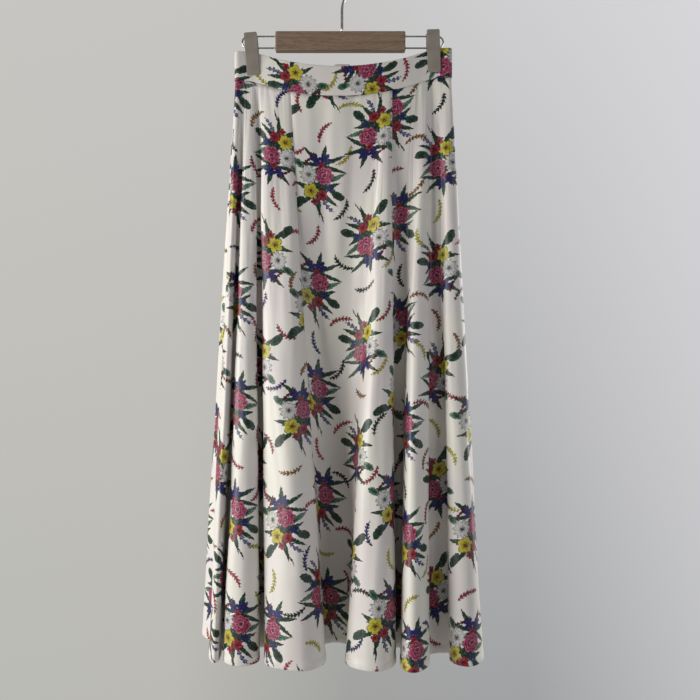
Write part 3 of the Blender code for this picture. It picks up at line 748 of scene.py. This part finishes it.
def stitch_row(name, line, out, length, pitch, width):
    """A row of small stitches along a line of points, lying on a face whose outward way is out."""
    steps = np.linalg.norm(np.diff(line, axis=0), axis=1)
    along = np.concatenate([[0.0], np.cumsum(steps)])
    starts = np.arange(pitch, along[-1] - pitch, pitch)

    def at_places(places, rows):
        return np.stack([np.interp(places, along, rows[:, i]) for i in range(3)], axis=1)

    start, end = at_places(starts, line), at_places(starts + length, line)
    middle, away = at_places(starts + length / 2, line), at_places(starts, out)
    side = np.cross(away, end - start)
    side = side / np.linalg.norm(side, axis=1, keepdims=True) * width / 2
    up = away * width / 2
    rings = [start, end, middle + side, middle + up, middle - side, middle - up]
    faces = []
    for base in range(0, 6 * len(starts), 6):
        for a, b in ((2, 3), (3, 4), (4, 5), (5, 2)):
            faces.append((base, base + a, base + b))
            faces.append((base + 1, base + b, base + a))
    mesh = mesh_of(name, np.stack(rings, axis=1), faces)
    return new_piece(name, mesh, sewing_thread)


def clouded_finish(name, patch, tones, gloss, detail=2.0, **more):
    """A finish whose tone drifts in patches of a real size, and its gloss too if it is a pair."""
    material, tree, shader = new_material(name)
    place = add_node(tree, "TexCoord").outputs["Object"]
    inputs = {"Vector": place, "Scale": 1000 / patch, "Detail": detail}
    clouds = add_node(tree, "TexNoise", inputs)
    dark, light = tones
    tone = add_node(tree, "ValToRGB", {"Fac": clouds}, ((0.3, dark), (0.7, light)))
    if isinstance(gloss, tuple):
        smooth, rough = gloss
        gloss = add_node(tree, "MapRange", {"Value": clouds, "To Min": smooth, "To Max": rough})
    feed(shader, {"Base Color": tone, "Roughness": gloss, **more})
    return material


# Spun from short fibres, so it is soft and matt. The light and shade of its twist are painted
# into its colour as specks.
sewing_thread = clouded_finish(
    "spun_polyester_sewing_thread", THREAD_TWIST_SHADE_SPECK, ("#d6cfc2", "#ebe6db"), 0.55
)


def skirt_panel(name, node, first, last, band, cut_from):
    """One panel between two lines of the ring, from the waist seam to the hem."""
    places = even_places(hem_curve, hem_place[first], hem_place[last], PANEL_COLUMN_WIDTH)
    top = waist_seam(seam_place(places))
    hem = hem_curve(places)
    points = np.array([top + (hem - top) * hanging_shares(down) for down in downs])
    points[0, :, 2] -= PANEL_GAP
    across = along_rows(points)
    steps = np.linalg.norm(np.diff(points, axis=0), axis=2)
    drop = np.concatenate([np.zeros((1, points.shape[1])), np.cumsum(steps, axis=0)])
    inside = edge_distance(across)
    held = 1 - near(inside, SEAM_HOLD)
    waist_along = np.broadcast_to(seam_place(places), across.shape)
    ring_along = np.broadcast_to(places, across.shape)
    growth = SWAY_AT_WAIST + (1 - SWAY_AT_WAIST) * downs[:, None]

    relief = crease_relief(places, across, drop)
    relief += growth * ripple(ring_along, drop, SWAY)
    relief += ripple(ring_along, drop, FINE_WRINKLES)
    puckers = ripple(waist_along, drop, WAIST_PUCKERS) + ripple(waist_along, drop, WAIST_GATHERS)
    relief += np.exp(-drop / PUCKER_REACH) * puckers
    relief *= held
    relief -= SEAM_DEPTH * near(inside, SEAM_WIDTH)
    # The stitches tug at the cloth beside each side seam, differently at either one.
    tugs = ripple(drop, 3 * np.sign(across), SEAM_TUGS)
    relief += near(inside - TUG_PLACE, TUG_WIDTH) * tugs
    if "seam_centre" in (first, last):
        near_zip = across - across[:, :1] if first == "seam_centre" else across[:, -1:] - across
        below = 1 + np.exp((drop - ZIP_LENGTH) / ZIP_LIP_END)
        relief += ZIP_LIP_HEIGHT * near(near_zip - ZIP_LIP_PLACE, ZIP_LIP_WIDTH) / below
    points = points + cloth_normals(points) * relief[:, :, None]

    flat = np.stack([across, -drop], axis=-1) + np.array(cut_from)
    panel = satin_piece(name, node, points, flat, HEM_THICKNESS, 1)
    hem_group = panel.vertex_groups.new(name="turned_hem")
    columns = points.shape[1]
    hem_start = PANEL_ROWS * columns
    hem_group.add(list(range(hem_start)), 0.0, "REPLACE")
    hem_group.add(list(range(hem_start, points.shape[0] * columns)), 1.0, "REPLACE")
    wall = panel.modifiers["cloth"]
    wall.vertex_group = "turned_hem"
    wall.thickness_vertex_group = CLOTH_THICKNESS / HEM_THICKNESS

    out = cloth_normals(points)[PANEL_ROWS - 1]
    line = points[PANEL_ROWS - 1] + out * CLOTH_THICKNESS / 2
    stitches = stitch_row(f"{name}_hem_stitches", line, out, *HEM_STITCH)


PANELS = (
    # piece, node, first line, last line, band, and where on the cloth it is cut from
    ("front_left_gore", "front_left_panel", "side_left", "seam_left",
     "front_waistband", (37, 11)),
    ("front_centre_gore", "front_centre_panel", "seam_left", "seam_right",
     "front_waistband", (1008, -27)),
    ("front_right_gore", "front_right_panel", "seam_right", "side_right",
     "front_waistband", (2061, 39)),
    ("back_right_gore", "back_right_panel", "side_right", "seam_centre",
     "back_right_waistband", (3117, -8)),
    ("back_left_gore", "back_left_panel", "seam_centre", "end",
     "back_left_waistband", (4203, 52)),
)
for details in PANELS:
    skirt_panel(*details)

# ================================================================ waistband
# A shaped band of the same satin, cut on another grain, doubled and interfaced, so it is 2 mm
# thick. One piece in front and two behind, folded at the top and sewn to the panels below.
BAND_THICKNESS = 2.0
BAND_COLUMN_WIDTH = 2.6
BAND_ROWS = 12
BAND_GRAIN_TURN = 0.87
BAND_FOLD = 0.8
BAND_BULGE = 0.9
BAND_BULGE_TAPER = 0.7
BAND_SWAY = (0.5, 26.0, 48.0, 31.0)
BAND_WRINKLES = (0.28, 7.0, 30.0, 37.0)
BAND_PUCKERS = (0.4, 4.8, 20.0, 41.0)
BAND_PUCKER_REACH = 7.0
BAND_SEAM_DEPTH = 0.7
BAND_SEAM_WIDTH = 1.4
BAND_SEAM_HOLD = 3.0
CLIP_HOLD = 17.0
BANDS = (
    # piece, node, first line, last line, clips that hold it, and where it is cut from
    ("front_band", "front_waistband", "side_left", "side_right",
     ["left_clip_front", "right_clip_front"], (575, 170)),
    ("back_right_band", "back_right_waistband", "side_right", "seam_centre",
     ["right_clip_back"], (1530, -31)),
    ("back_left_band", "back_left_waistband", "seam_centre", "end",
     ["left_clip_back"], (2538, 24)),
)


def soft_edges(made, width, segments=3, sharp_from=40, hardened=True):
    """Rounds an object's sharp edges."""
    edges = made.modifiers.new("soft_edges", "BEVEL")
    edges.width = width / 1000
    edges.segments = segments
    edges.limit_method = "ANGLE"
    edges.angle_limit = math.radians(sharp_from)
    edges.harden_normals = hardened


def waistband(name, node, first, last, clips, cut_from):
    """One band piece, standing on the waist seam between two lines of the ring."""
    places = even_places(waist_seam, waist_place[first], waist_place[last], BAND_COLUMN_WIDTH)
    ups = np.linspace(BAND_HEIGHT, 0, BAND_ROWS + 1)
    points = waist_seam(places)[None] + ups[:, None, None] * np.array([0, 0, 1])
    across = along_rows(points)
    inside = edge_distance(across)
    height = np.broadcast_to(ups[:, None], across.shape)
    free = np.ones_like(across)
    for middle in CLIP_MIDDLES_X:
        free *= 1 - near(points[:, :, 0] - middle, CLIP_HOLD)
    relief = BAND_BULGE * np.sin(np.pi * height / BAND_HEIGHT) ** BAND_BULGE_TAPER
    relief += ripple(across, height, BAND_SWAY) + ripple(across, height, BAND_WRINKLES)
    relief += np.exp(-height / BAND_PUCKER_REACH) * ripple(across, height, BAND_PUCKERS)
    relief *= 1 - near(inside, BAND_SEAM_HOLD)
    relief -= BAND_SEAM_DEPTH * near(inside, BAND_SEAM_WIDTH)
    points = points + cloth_normals(points) * (relief * free)[:, :, None]
    cos, sin = math.cos(BAND_GRAIN_TURN), math.sin(BAND_GRAIN_TURN)
    turned = np.stack([across, height], axis=-1) @ np.array([[cos, -sin], [sin, cos]])
    flat = turned + np.array(cut_from)
    band = satin_piece(name, node, points, flat, BAND_THICKNESS, 0)
    soft_edges(band, BAND_FOLD, sharp_from=50, hardened=False)


for details in BANDS:
    waistband(*details)

# ================================================================ concealed zip
# An ivory nylon zip, sewn inside the centre back seam from the band's top down: two woven tapes,
# a chain of coiled teeth on their inner side, and an enamelled slider with its pull tab.
ZIP_TAPE_WIDTH = 11.0
ZIP_TAPE_THICKNESS = 0.5
ZIP_TAPE_COLUMNS = 13
ZIP_TAPE_ROWS = 60
ZIP_TAPE_OVER_BAND = 1.6
ZIP_TAPE_BOW = 1.6
ZIP_TAPE_BOW_REACH = 60.0
ZIP_TAPE_INSET = 1.9
ZIP_CHAIN_INSET = 3.0
ZIP_INSET_EASE = 0.5
ZIP_INSET_REACH = 10.0
ZIP_TEETH_START = 8.0
ZIP_TEETH_SHORT = 6.0
ZIP_TEETH_PITCH = 1.9
ZIP_TOOTH_SIZE = (3.2, 1.1, 1.1)
ZIP_TOOTH_OFFSET = 0.9
ZIP_TOOTH_ROUNDING = 0.35
ZIP_RIB_PITCH = 0.8
ZIP_COIL_CLOUD = 2.5
ENAMEL_POOL = 1.4
ZIP_SLIDER_SIZE = (5.2, 1.8, 9.0)
ZIP_SLIDER_DROP = 1.0
ZIP_SLIDER_RIB = (1.5, 0.6, 6.2)
ZIP_SLIDER_RIB_DROP = 4.6
ZIP_SLIDER_ROUNDING = 0.28
ZIP_PULL_ROUNDING = 0.22
ZIP_FIT = 0.35

# Woven in close ribs along its length, so it is matt and faintly striped. Ribs 0.4 mm apart are
# too fine to show, so they are drawn 0.8 mm apart.
zip_tape_cloth, tape_tree, tape_shader = new_material("woven_polyester_zip_tape")
tape_place = add_node(tape_tree, "TexCoord").outputs["Object"]
# A wave texture turns by 20 radians in each unit of its scale.
rib_scale = 1000 * 2 * math.pi / (20 * ZIP_RIB_PITCH)
inputs = {"Vector": tape_place, "Scale": rib_scale, "Distortion": 0.6}
ribs = add_node(tape_tree, "TexWave", inputs, bands_direction="Z").outputs["Fac"]
tone = add_node(tape_tree, "ValToRGB", {"Fac": ribs}, ((0.0, "#d9d3c6"), (1.0, "#e9e4d9")))
feed(tape_shader, {"Base Color": tone, "Roughness": 0.7})

# Drawn nylon wire is smooth and a little milky, so each tooth has a small bright glint.
nylon_wire = clouded_finish(
    "coiled_nylon_monofilament", ZIP_COIL_CLOUD, ("#dcd6c8", "#eae5da"), 0.32, IOR=1.53
)

# Enamel flows before it is baked, so it is glossy and pools unevenly in spots of 1 to 2 mm.
ivory_enamel = clouded_finish(
    "ivory_enamel_on_zinc_casting", ENAMEL_POOL, ("#ddd6c8", "#e8e2d6"), (0.28, 0.4)
)

centre_top = waist_seam([waist_place["seam_centre"]])[0]
centre_hem = hem_curve([hem_place["seam_centre"]])[0]


def centre_back(drop, inset):
    """A point on the centre back line, as far below the band's top as drop and inside by inset."""
    below = drop - BAND_HEIGHT
    inset -= ZIP_INSET_EASE * min(1.0, max(0.0, below) / ZIP_INSET_REACH)
    inwards = np.array([0, -inset, 0])
    if below <= 0:
        return centre_top + np.array([0, 0, -below]) + inwards
    shares = hanging_shares(below / (centre_top[2] - HEM_Z))
    return centre_top + (centre_hem - centre_top) * shares + inwards


def zip_tape():
    """Both tapes as one strip behind the seam, from just over the band's top down to its end."""
    drops = np.linspace(0, BAND_HEIGHT + ZIP_LENGTH, ZIP_TAPE_ROWS)
    sides = np.linspace(-1, 1, ZIP_TAPE_COLUMNS)
    points = []
    for drop in (-ZIP_TAPE_OVER_BAND, *drops):
        bow = -ZIP_TAPE_BOW * sides**2 * min(1.0, max(0.0, drop) / ZIP_TAPE_BOW_REACH)
        offsets = np.stack([sides * ZIP_TAPE_WIDTH, bow, 0 * sides], axis=1)
        points.append(centre_back(drop, ZIP_TAPE_INSET) + offsets)
    mesh = grid_mesh("zip_tape", np.array(points))
    tape = new_piece("zip_tape", mesh, zip_tape_cloth)
    thicken(tape, ZIP_TAPE_THICKNESS)
    return tape


def add_box(target, size, matrix):
    """Adds a box to a mesh in the making."""
    scale = Matrix.Diagonal((*(Vector(size) / 1000), 1.0))
    bmesh.ops.create_cube(target, size=1.0, matrix=matrix @ scale)


def at(x, y, z):
    """A move to a place in millimetres."""
    return Matrix.Translation(Vector((x, y, z)) / 1000)


def solid_piece(name, made, rounding, material, stands_for=None, segments=3):
    """Turns a mesh in the making into a piece with rounded edges."""
    mesh = bpy.data.meshes.new(name)
    bmesh.ops.recalc_face_normals(made, faces=made.faces)
    made.to_mesh(mesh)
    made.free()
    mesh.shade_smooth()
    piece = new_piece(name, mesh, material, stands_for)
    soft_edges(piece, rounding, segments)
    return piece


def zip_chain():
    """The coil teeth down the inner side of the tapes, each hooked between two of the other's."""
    chain = bmesh.new()
    for i in range(int((BAND_HEIGHT + ZIP_LENGTH - ZIP_TEETH_SHORT) / ZIP_TEETH_PITCH)):
        side = 1 if i % 2 else -1
        x, y, z = centre_back(ZIP_TEETH_START + i * ZIP_TEETH_PITCH, ZIP_CHAIN_INSET)
        add_box(chain, ZIP_TOOTH_SIZE, at(x + side * ZIP_TOOTH_OFFSET, y, z))
    return solid_piece(
        "zip_chain", chain, ZIP_TOOTH_ROUNDING, nylon_wire, segments=2
    )


zip_tape()
zip_chain()


def raise_outline(target, outline, y, thickness):
    """Adds a plate with an outline of X and Z places, as thick as given from Y backwards."""
    face = target.faces.new([target.verts.new(Vector((x, y, z)) / 1000) for x, z in outline])
    raised = bmesh.ops.extrude_face_region(target, geom=[face])
    moved = [v for v in raised["geom"] if isinstance(v, bmesh.types.BMVert)]
    bmesh.ops.translate(target, verts=moved, vec=Vector((0, thickness, 0)) / 1000)


def zip_slider():
    """The slider's face plate: broad shoulders, waisted sides and a raised rib down its middle."""
    width, depth, length = ZIP_SLIDER_SIZE
    x, y, z = centre_top
    y += BAND_THICKNESS / 2 + ZIP_FIT
    z += BAND_HEIGHT - ZIP_SLIDER_DROP
    half = (
        (0.0, 0.0), (0.30, 0.0), (0.44, -0.05), (0.5, -0.16), (0.47, -0.38), (0.36, -0.55),
        (0.34, -0.85), (0.27, -0.97), (0.0, -1.0),
    )
    outline = [*half, *((-a, b) for a, b in half[-2:0:-1])]
    rib_depth = ZIP_SLIDER_RIB[1]
    body = bmesh.new()
    places = [(x + a * width, z + b * length) for a, b in outline]
    raise_outline(body, places, y + rib_depth / 2, depth - rib_depth)
    add_box(body, ZIP_SLIDER_RIB, at(x, y + depth - rib_depth / 2, z - ZIP_SLIDER_RIB_DROP))
    solid_piece(
        "slider_plate", body, ZIP_SLIDER_ROUNDING, ivory_enamel, "zip_slider"
    )


zip_slider()
for node in ("zip_bridge", "zip_pull"):
    for part_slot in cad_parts[node].material_slots:
        part_slot.material = ivory_enamel
soft_edges(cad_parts["zip_pull"], ZIP_PULL_ROUNDING)

# ================================================================ hanger bar
# Beech, sawn along its grain, eased at the edges, stained taupe and matt lacquered. The hook and
# both rails are set into drilled holes, each behind a small steel collar.
BAR_SIZE = (188.0, 12.0, 28.4)
BAR_X = -2.3
BAR_TOP_Z = -95.6
BAR_ROUNDING = 1.9
RAIL_Z = (-101.6, -118.5)
RAIL_DIAMETER = 2.4
COLLAR_LENGTH = 1.0
COLLAR_SIDES = 32
HOOK_COLLAR_WIDTH = 1.1
RAIL_COLLAR_WIDTH = 0.8
COLLAR_ROUNDING = 0.3
HOOK_DIAMETER = 4.2
RING_STREAK = (110.0, 6.2, 3.9)
PORE_DASH = (9.0, 1.1, 0.53)
STEEL_CLOUD = 4.5

# Stain soaks in unevenly, so the growth rings show as long streaks 2 to 6 mm apart, under a thin
# lacquer that has little shine.
stained_beech, wood, wood_shader = new_material("taupe_stained_beech_matt_lacquer")
wood_place = add_node(wood, "TexCoord").outputs["Object"]
inputs = {"Rotation": (0, 0.03, 0), "Scale": [1000 / a for a in RING_STREAK]}
drawn_out = add_node(wood, "Mapping", {"Vector": wood_place, **inputs})
inputs = {"Vector": drawn_out, "Scale": 1.0, "Detail": 4.0, "Distortion": 0.5}
streaks = add_node(wood, "TexNoise", inputs)
taupes = ((0.3, "#76614e"), (0.45, "#86715e"), (0.6, "#8d7864"), (0.75, "#988370"))
grain = add_node(wood, "ValToRGB", {"Fac": streaks}, taupes)
# Pores are short dark dashes. At 0.1 mm wide they are too fine to show, so they are drawn wider.
inputs = {"Vector": wood_place, "Scale": [1000 / a for a in PORE_DASH]}
fine = add_node(wood, "Mapping", inputs)
pores = add_node(wood, "TexNoise", {"Vector": fine, "Scale": 1.0, "Detail": 1.0})
stain = laid_over(wood, grain, pores, ((0.3, "#4c3b2f", 0.75), (0.42, "#4c3b2f", 0.0)))
lacquer = add_node(wood, "MapRange", {"Value": streaks, "To Min": 0.42, "To Max": 0.58})
relief = add_node(wood, "Bump", {"Height": pores, "Strength": 0.25, "Distance": 0.0002})
feed(wood_shader, {"Base Color": stain, "Roughness": lacquer, "Normal": relief})

# Nickel plating over drawn wire mirrors the room, and is a little cloudy in patches of 3 to 5 mm.
bright_steel = clouded_finish(
    "nickel_plated_steel", STEEL_CLOUD, ("#b8b5b0", "#cfccc8"), (0.16, 0.32), Metallic=1.0
)

block = bmesh.new()
add_box(block, BAR_SIZE, Matrix.Identity(4))
bar = solid_piece(
    "stained_bar", block, BAR_ROUNDING, stained_beech, "hanger_bar", segments=5
)
bar.location = Vector((BAR_X, 0, BAR_TOP_Z - BAR_SIZE[2] / 2)) / 1000

half_collar = COLLAR_LENGTH / 2
hook_place = at(0, 0, BAR_TOP_Z + half_collar)
collars = [(hook_place, (HOOK_DIAMETER / 2 + HOOK_COLLAR_WIDTH) / 1000)]
for side in (-1, 1):
    for z in RAIL_Z:
        end_place = at(BAR_X + side * (BAR_SIZE[0] / 2 + half_collar), 0, z)
        lying = end_place @ Matrix.Rotation(math.radians(90), 4, "Y")
        collars.append((lying, (RAIL_DIAMETER / 2 + RAIL_COLLAR_WIDTH) / 1000))
rings = bmesh.new()
for place, radius in collars:
    bmesh.ops.create_cone(
        rings, cap_ends=True, segments=COLLAR_SIDES, radius1=radius, radius2=radius,
        depth=COLLAR_LENGTH / 1000, matrix=place,
    )
solid_piece("bar_collars", rings, COLLAR_ROUNDING, bright_steel)

# ================================================================ hook and rails
# Drawn steel wire, bent cold and nickel plated. The hook leaves the bar upright and swings over
# the top of the rail it hangs from. Each rail runs out of the bar, round a bend and back.
HOOK_INNER_RADIUS = 20.0
HOOK_SHANK_TOP_Z = -66.0
HOOK_BOW_ANGLES = (-58.0, 196.0)
RAIL_ENDS_X = (-145.7, 147.9)
WIRE_FIT = 0.35
# How far out the rings of a wire's rounded end are, and how wide, both in radii.
WIRE_END_ROUNDING = ((0.34, 0.75), (0.45, 0.4))


def wire_mesh(name, points, diameter, sides=20):
    """A round wire swept along points, with its ends rounded off."""
    path = np.array(points, float)
    ways = np.gradient(path, axis=0)
    ways = ways / np.linalg.norm(ways, axis=1, keepdims=True)
    radius = diameter / 2
    caps = WIRE_END_ROUNDING
    heads = [path[0] - ways[0] * radius * out for out, _ in caps[::-1]]
    tails = [path[-1] + ways[-1] * radius * out for out, _ in caps]
    shares = [share for _, share in caps[::-1]] + [1.0] * len(path) + [share for _, share in caps]
    path = np.array([*heads, *path, *tails])
    ways = np.array([ways[0]] * 2 + list(ways) + [ways[-1]] * 2)
    side = np.cross(ways[0], (0, 1, 0))
    if np.linalg.norm(side) < 0.1:
        side = np.cross(ways[0], (1, 0, 0))
    angles = np.linspace(0, 2 * math.pi, sides, endpoint=False)
    rings = []
    for place, way, share in zip(path, ways, shares):
        side = side - way * (side @ way)
        side = side / np.linalg.norm(side)
        up = np.cross(way, side)
        turn = np.outer(np.cos(angles), side) + np.outer(np.sin(angles), up)
        rings.append(place + turn * radius * share)
    last = (len(path) - 1) * sides
    faces = []
    for base in range(0, last, sides):
        for j in range(sides):
            k = (j + 1) % sides
            faces.append((base + j, base + k, base + sides + k, base + sides + j))
    faces.append(tuple(range(sides))[::-1])
    faces.append(tuple(range(last, last + sides)))
    return mesh_of(name, np.array(rings), faces)


def arc(centre, radius, start, end, count):
    """Points along an arc in the X-Z plane, with angles in degrees from +X towards +Z."""
    return [
        (centre[0] + radius * math.cos(angle), 0.0, centre[1] + radius * math.sin(angle))
        for angle in np.radians(np.linspace(start, end, count))
    ]


bow = arc((0, -HOOK_INNER_RADIUS), HOOK_INNER_RADIUS + HOOK_DIAMETER / 2, *HOOK_BOW_ANGLES, 90)
shank_top = Vector((0, 0, HOOK_SHANK_TOP_Z))
bow_start = Vector(bow[0])
reach = (bow_start - shank_top).length
way_in = (Vector(bow[1]) - bow_start).normalized() * reach
swing = []
for t in np.linspace(0, 1, 25)[:-1]:
    swing.append(
        shank_top * (2 * t**3 - 3 * t**2 + 1)
        + Vector((0, 0, reach)) * (t**3 - 2 * t**2 + t)
        + bow_start * (3 * t**2 - 2 * t**3)
        + way_in * (t**3 - t**2)
    )
shank = [(0, 0, z) for z in np.linspace(BAR_TOP_Z + WIRE_FIT, HOOK_SHANK_TOP_Z, 6)[:-1]]
hook_mesh = wire_mesh("wire_hook", [*shank, *swing, *bow], HOOK_DIAMETER, 24)
new_piece("wire_hook", hook_mesh, bright_steel, "hanger_hook")

for rail_name, node, side, end_x in (
    ("left_wire_rail", "left_rail", -1, RAIL_ENDS_X[0]),
    ("right_wire_rail", "right_rail", 1, RAIL_ENDS_X[1]),
):
    upper, lower = RAIL_Z
    bend = (upper - lower) / 2
    face_x = BAR_X + side * (BAR_SIZE[0] / 2 + WIRE_FIT)
    bend_x = end_x - side * (bend + RAIL_DIAMETER / 2)
    half_turn = [
        (bend_x + side * (x - bend_x), y, z)
        for x, y, z in arc((bend_x, (upper + lower) / 2), bend, 90, -90, 33)
    ]
    out = [(x, 0, upper) for x in np.linspace(face_x, bend_x, 8)[:-1]]
    back = [(x, 0, lower) for x in np.linspace(bend_x, face_x, 8)[1:]]
    rail_mesh = wire_mesh(rail_name, [*out, *half_turn, *back], RAIL_DIAMETER)
    new_piece(rail_name, rail_mesh, bright_steel, node)

# ================================================================ clips
# Each clip is two plates pressed from 1.4 mm sheet steel, with folded ears round the upper rail,
# finished in warm grey enamel. A torsion spring on the rail shuts them on the waistband.
CLIP_SIZE = (18.7, 1.4, 61.2)
CLIP_CORNER = 2.2
CLIP_EAR_SIZE = (1.2, 2.6, 10.0)
CLIP_EAR_LAP = 0.2
CLIP_EAR_DROP = 2.5
CLIP_ROUNDING = 0.5
CLIP_JAW_OUT = 3.6
CLIP_OPENING_ANGLE = math.radians(2.4)
CLIP_SPRING_RADIUS = 4.5
CLIP_SPRING_WIRE = 1.1
CLIP_SPRING_TURNS = 7.5
CLIP_SPRING_LEG = (13.0, 9.0, 5.0, 2.0)
CLIP_SPRING_LENGTH = 9.6
CLIP_TONE_WIDTH = 18.0
ORANGE_PEEL = 1.1
CLIPS = (
    # name,    x,     middle_z, lean_degrees
    ("left",  -129.9, -128.6, 4.4),
    ("right",  132.4, -124.4, 1.9),
)

# Sprayed and stoved, so it is half glossy, with a faint orange peel over slow changes of tone.
grey_enamel = clouded_finish(
    "warm_grey_stoved_enamel_on_steel", CLIP_TONE_WIDTH, ("#847d73", "#948d84"), 0.36
)
enamel_tree = grey_enamel.node_tree
clip_place = add_node(enamel_tree, "TexCoord").outputs["Object"]
peel = add_node(enamel_tree, "TexNoise", {"Vector": clip_place, "Scale": 1000 / ORANGE_PEEL})
relief = add_node(enamel_tree, "Bump", {"Height": peel, "Strength": 0.1, "Distance": 0.0001})
feed(enamel_tree.nodes["Principled BSDF"], {"Normal": relief})


def clip_plate(clip, end, side, x, middle_z, lean_degrees):
    """One plate of a clip, with round corners and an ear folded in at either side of the rail."""
    width, thickness, length = CLIP_SIZE
    corners = []
    for x_side, z_side, start in ((1, 1, 0), (-1, 1, 90), (-1, -1, 180), (1, -1, 270)):
        centre = (x_side * (width / 2 - CLIP_CORNER), z_side * (length / 2 - CLIP_CORNER))
        corners += arc(centre, CLIP_CORNER, start, start + 90, 7)
    pressed = bmesh.new()
    raise_outline(pressed, [(a, b) for a, _, b in corners], -thickness / 2, thickness)
    ear_width, ear_depth, _ = CLIP_EAR_SIZE
    ear_y = -side * (thickness + ear_depth - CLIP_EAR_LAP) / 2
    for ear in (-1, 1):
        ear_x = ear * (width - ear_width) / 2
        add_box(pressed, CLIP_EAR_SIZE, at(ear_x, ear_y, RAIL_Z[0] - middle_z - CLIP_EAR_DROP))
    name = f"{clip}_{end}_plate"
    node = f"{clip}_clip_{end}"
    plate = solid_piece(name, pressed, CLIP_ROUNDING, grey_enamel, node)
    out = CLIP_JAW_OUT + thickness / 2 + length / 2 * math.sin(CLIP_OPENING_ANGLE)
    lean = Matrix.Rotation(-math.radians(lean_degrees), 4, "Y")
    tip = Matrix.Rotation(-side * CLIP_OPENING_ANGLE, 4, "X")
    plate.matrix_world = at(x, side * out, middle_z) @ lean @ tip


def clip_spring(clip, x, middle_z, lean_degrees):
    """A torsion spring round the upper rail, with a leg behind each plate."""
    centre_x = x - (RAIL_Z[0] - middle_z) * math.tan(math.radians(lean_degrees))
    coil = []
    for share in np.linspace(0, 1, 200):
        angle = 2 * math.pi * CLIP_SPRING_TURNS * share
        coil.append(
            (centre_x + (share - 0.5) * CLIP_SPRING_LENGTH,
             -CLIP_SPRING_RADIUS * math.cos(angle),
             RAIL_Z[0] + CLIP_SPRING_RADIUS * math.sin(angle))
        )
    legs = [[(a, b, c - d) for d in CLIP_SPRING_LEG] for a, b, c in (coil[0], coil[-1])]
    name = f"{clip}_torsion_spring"
    wire = wire_mesh(name, [*legs[0], *coil, *legs[1][::-1]], CLIP_SPRING_WIRE, 10)
    new_piece(name, wire, bright_steel, f"{clip}_clip_spring")


for clip, *place in CLIPS:
    clip_plate(clip, "front", -1, *place)
    clip_plate(clip, "back", 1, *place)
    clip_spring(clip, *place)

# ================================================================ floor and light
# A plain pale floor well below the hem, and three soft square lights: a wide key on the left, a
# weak fill in front on the right, and one behind on the right that edges the folds. The surround
# is pale, and darkest low down, where a painted shadow darkens its middle and right. All of it is
# placed in metres.
FLOOR_Z = -1.6
FLOOR_RADIUS = 1.1
FLOOR_MOTTLE = 330.0

floor_disc = bmesh.new()
bmesh.ops.create_circle(floor_disc, cap_ends=True, segments=96, radius=FLOOR_RADIUS)
floor_mesh = bpy.data.meshes.new("floor")
floor_disc.to_mesh(floor_mesh)
floor_disc.free()
floor = bpy.data.objects.new("floor", floor_mesh)
floor.location = (0, 0, FLOOR_Z)
bpy.context.scene.collection.objects.link(floor)
# Rolled on, so it is even and matt, with tone that drifts a little over a stride.
floor_paint = clouded_finish(
    "matt_painted_floor", FLOOR_MOTTLE, ("#d2d2ce", "#d8d8d4"), 0.8, detail=3.0
)
floor_mesh.materials.append(floor_paint)


def soft_light(name, place, target, size, watts, hex_colour):
    """A square soft light, turned towards a target."""
    light = bpy.data.lights.new(name, "AREA")
    light.size = size
    light.energy = watts
    light.color = linear(hex_colour)[:3]
    made = bpy.data.objects.new(name, light)
    made.location = place
    made.rotation_euler = (Vector(target) - Vector(place)).to_track_quat("-Z", "Y").to_euler()
    bpy.context.scene.collection.objects.link(made)


soft_light("key_light", (-2.0, -0.75, -0.4), (0, 0, -0.65), 1.3, 50, "#fffdf9")
soft_light("fill_light", (1.7, -1.3, -0.3), (0, 0, -0.55), 1.4, 10, "#f6f8ff")
soft_light("back_light", (2.2, 1.3, -0.3), (0, 0, -0.6), 1.3, 30, "#fffdf9")

world = bpy.data.worlds.new("surround")
bpy.context.scene.world = world
world.use_nodes = True
sky = world.node_tree
ways = add_node(sky, "SeparateXYZ", {"Vector": add_node(sky, "TexCoord").outputs["Generated"]})
seen = {"From Min": -0.42, "From Max": 0.42}
from_left = add_node(sky, "MapRange", {"Value": ways.outputs["X"], **seen})
from_below = add_node(sky, "MapRange", {"Value": ways.outputs["Z"], **seen})
tones = ((0.0, "#c8c6c2"), (0.45, "#c6c4c2"), (0.75, "#cfcfd1"), (1.0, "#d9d7da"))
high = add_node(sky, "ValToRGB", {"Fac": from_left}, tones)
# Low down, a painted shadow darkens the middle and the right, as if the skirt cast it on a wall.
tones = (
    (0.0, "#babab4"), (0.25, "#bab9b3"), (0.5, "#a2a2a0"), (0.75, "#a0a1a3"), (1.0, "#c0c1c2")
)
low_with_painted_shadow = add_node(sky, "ValToRGB", {"Fac": from_left}, tones)
pale = add_node(sky, "Mix", {0: from_below, 6: low_with_painted_shadow, 7: high}, data_type="RGBA").outputs[2]
# The room behind the viewer is darker than the surround that is seen, so folds keep their shade.
inputs = {"Value": ways.outputs["Y"], "From Min": -0.2, "From Max": 0.78, "To Min": 0.28}
inputs = {0: 1.0, 6: pale, 7: add_node(sky, "MapRange", inputs)}
surround = add_node(sky, "Mix", inputs, data_type="RGBA", blend_type="MULTIPLY")
feed(sky.nodes["Background"], {"Color": surround.outputs[2]})
bpy.context.scene.view_settings.view_transform = "Standard"
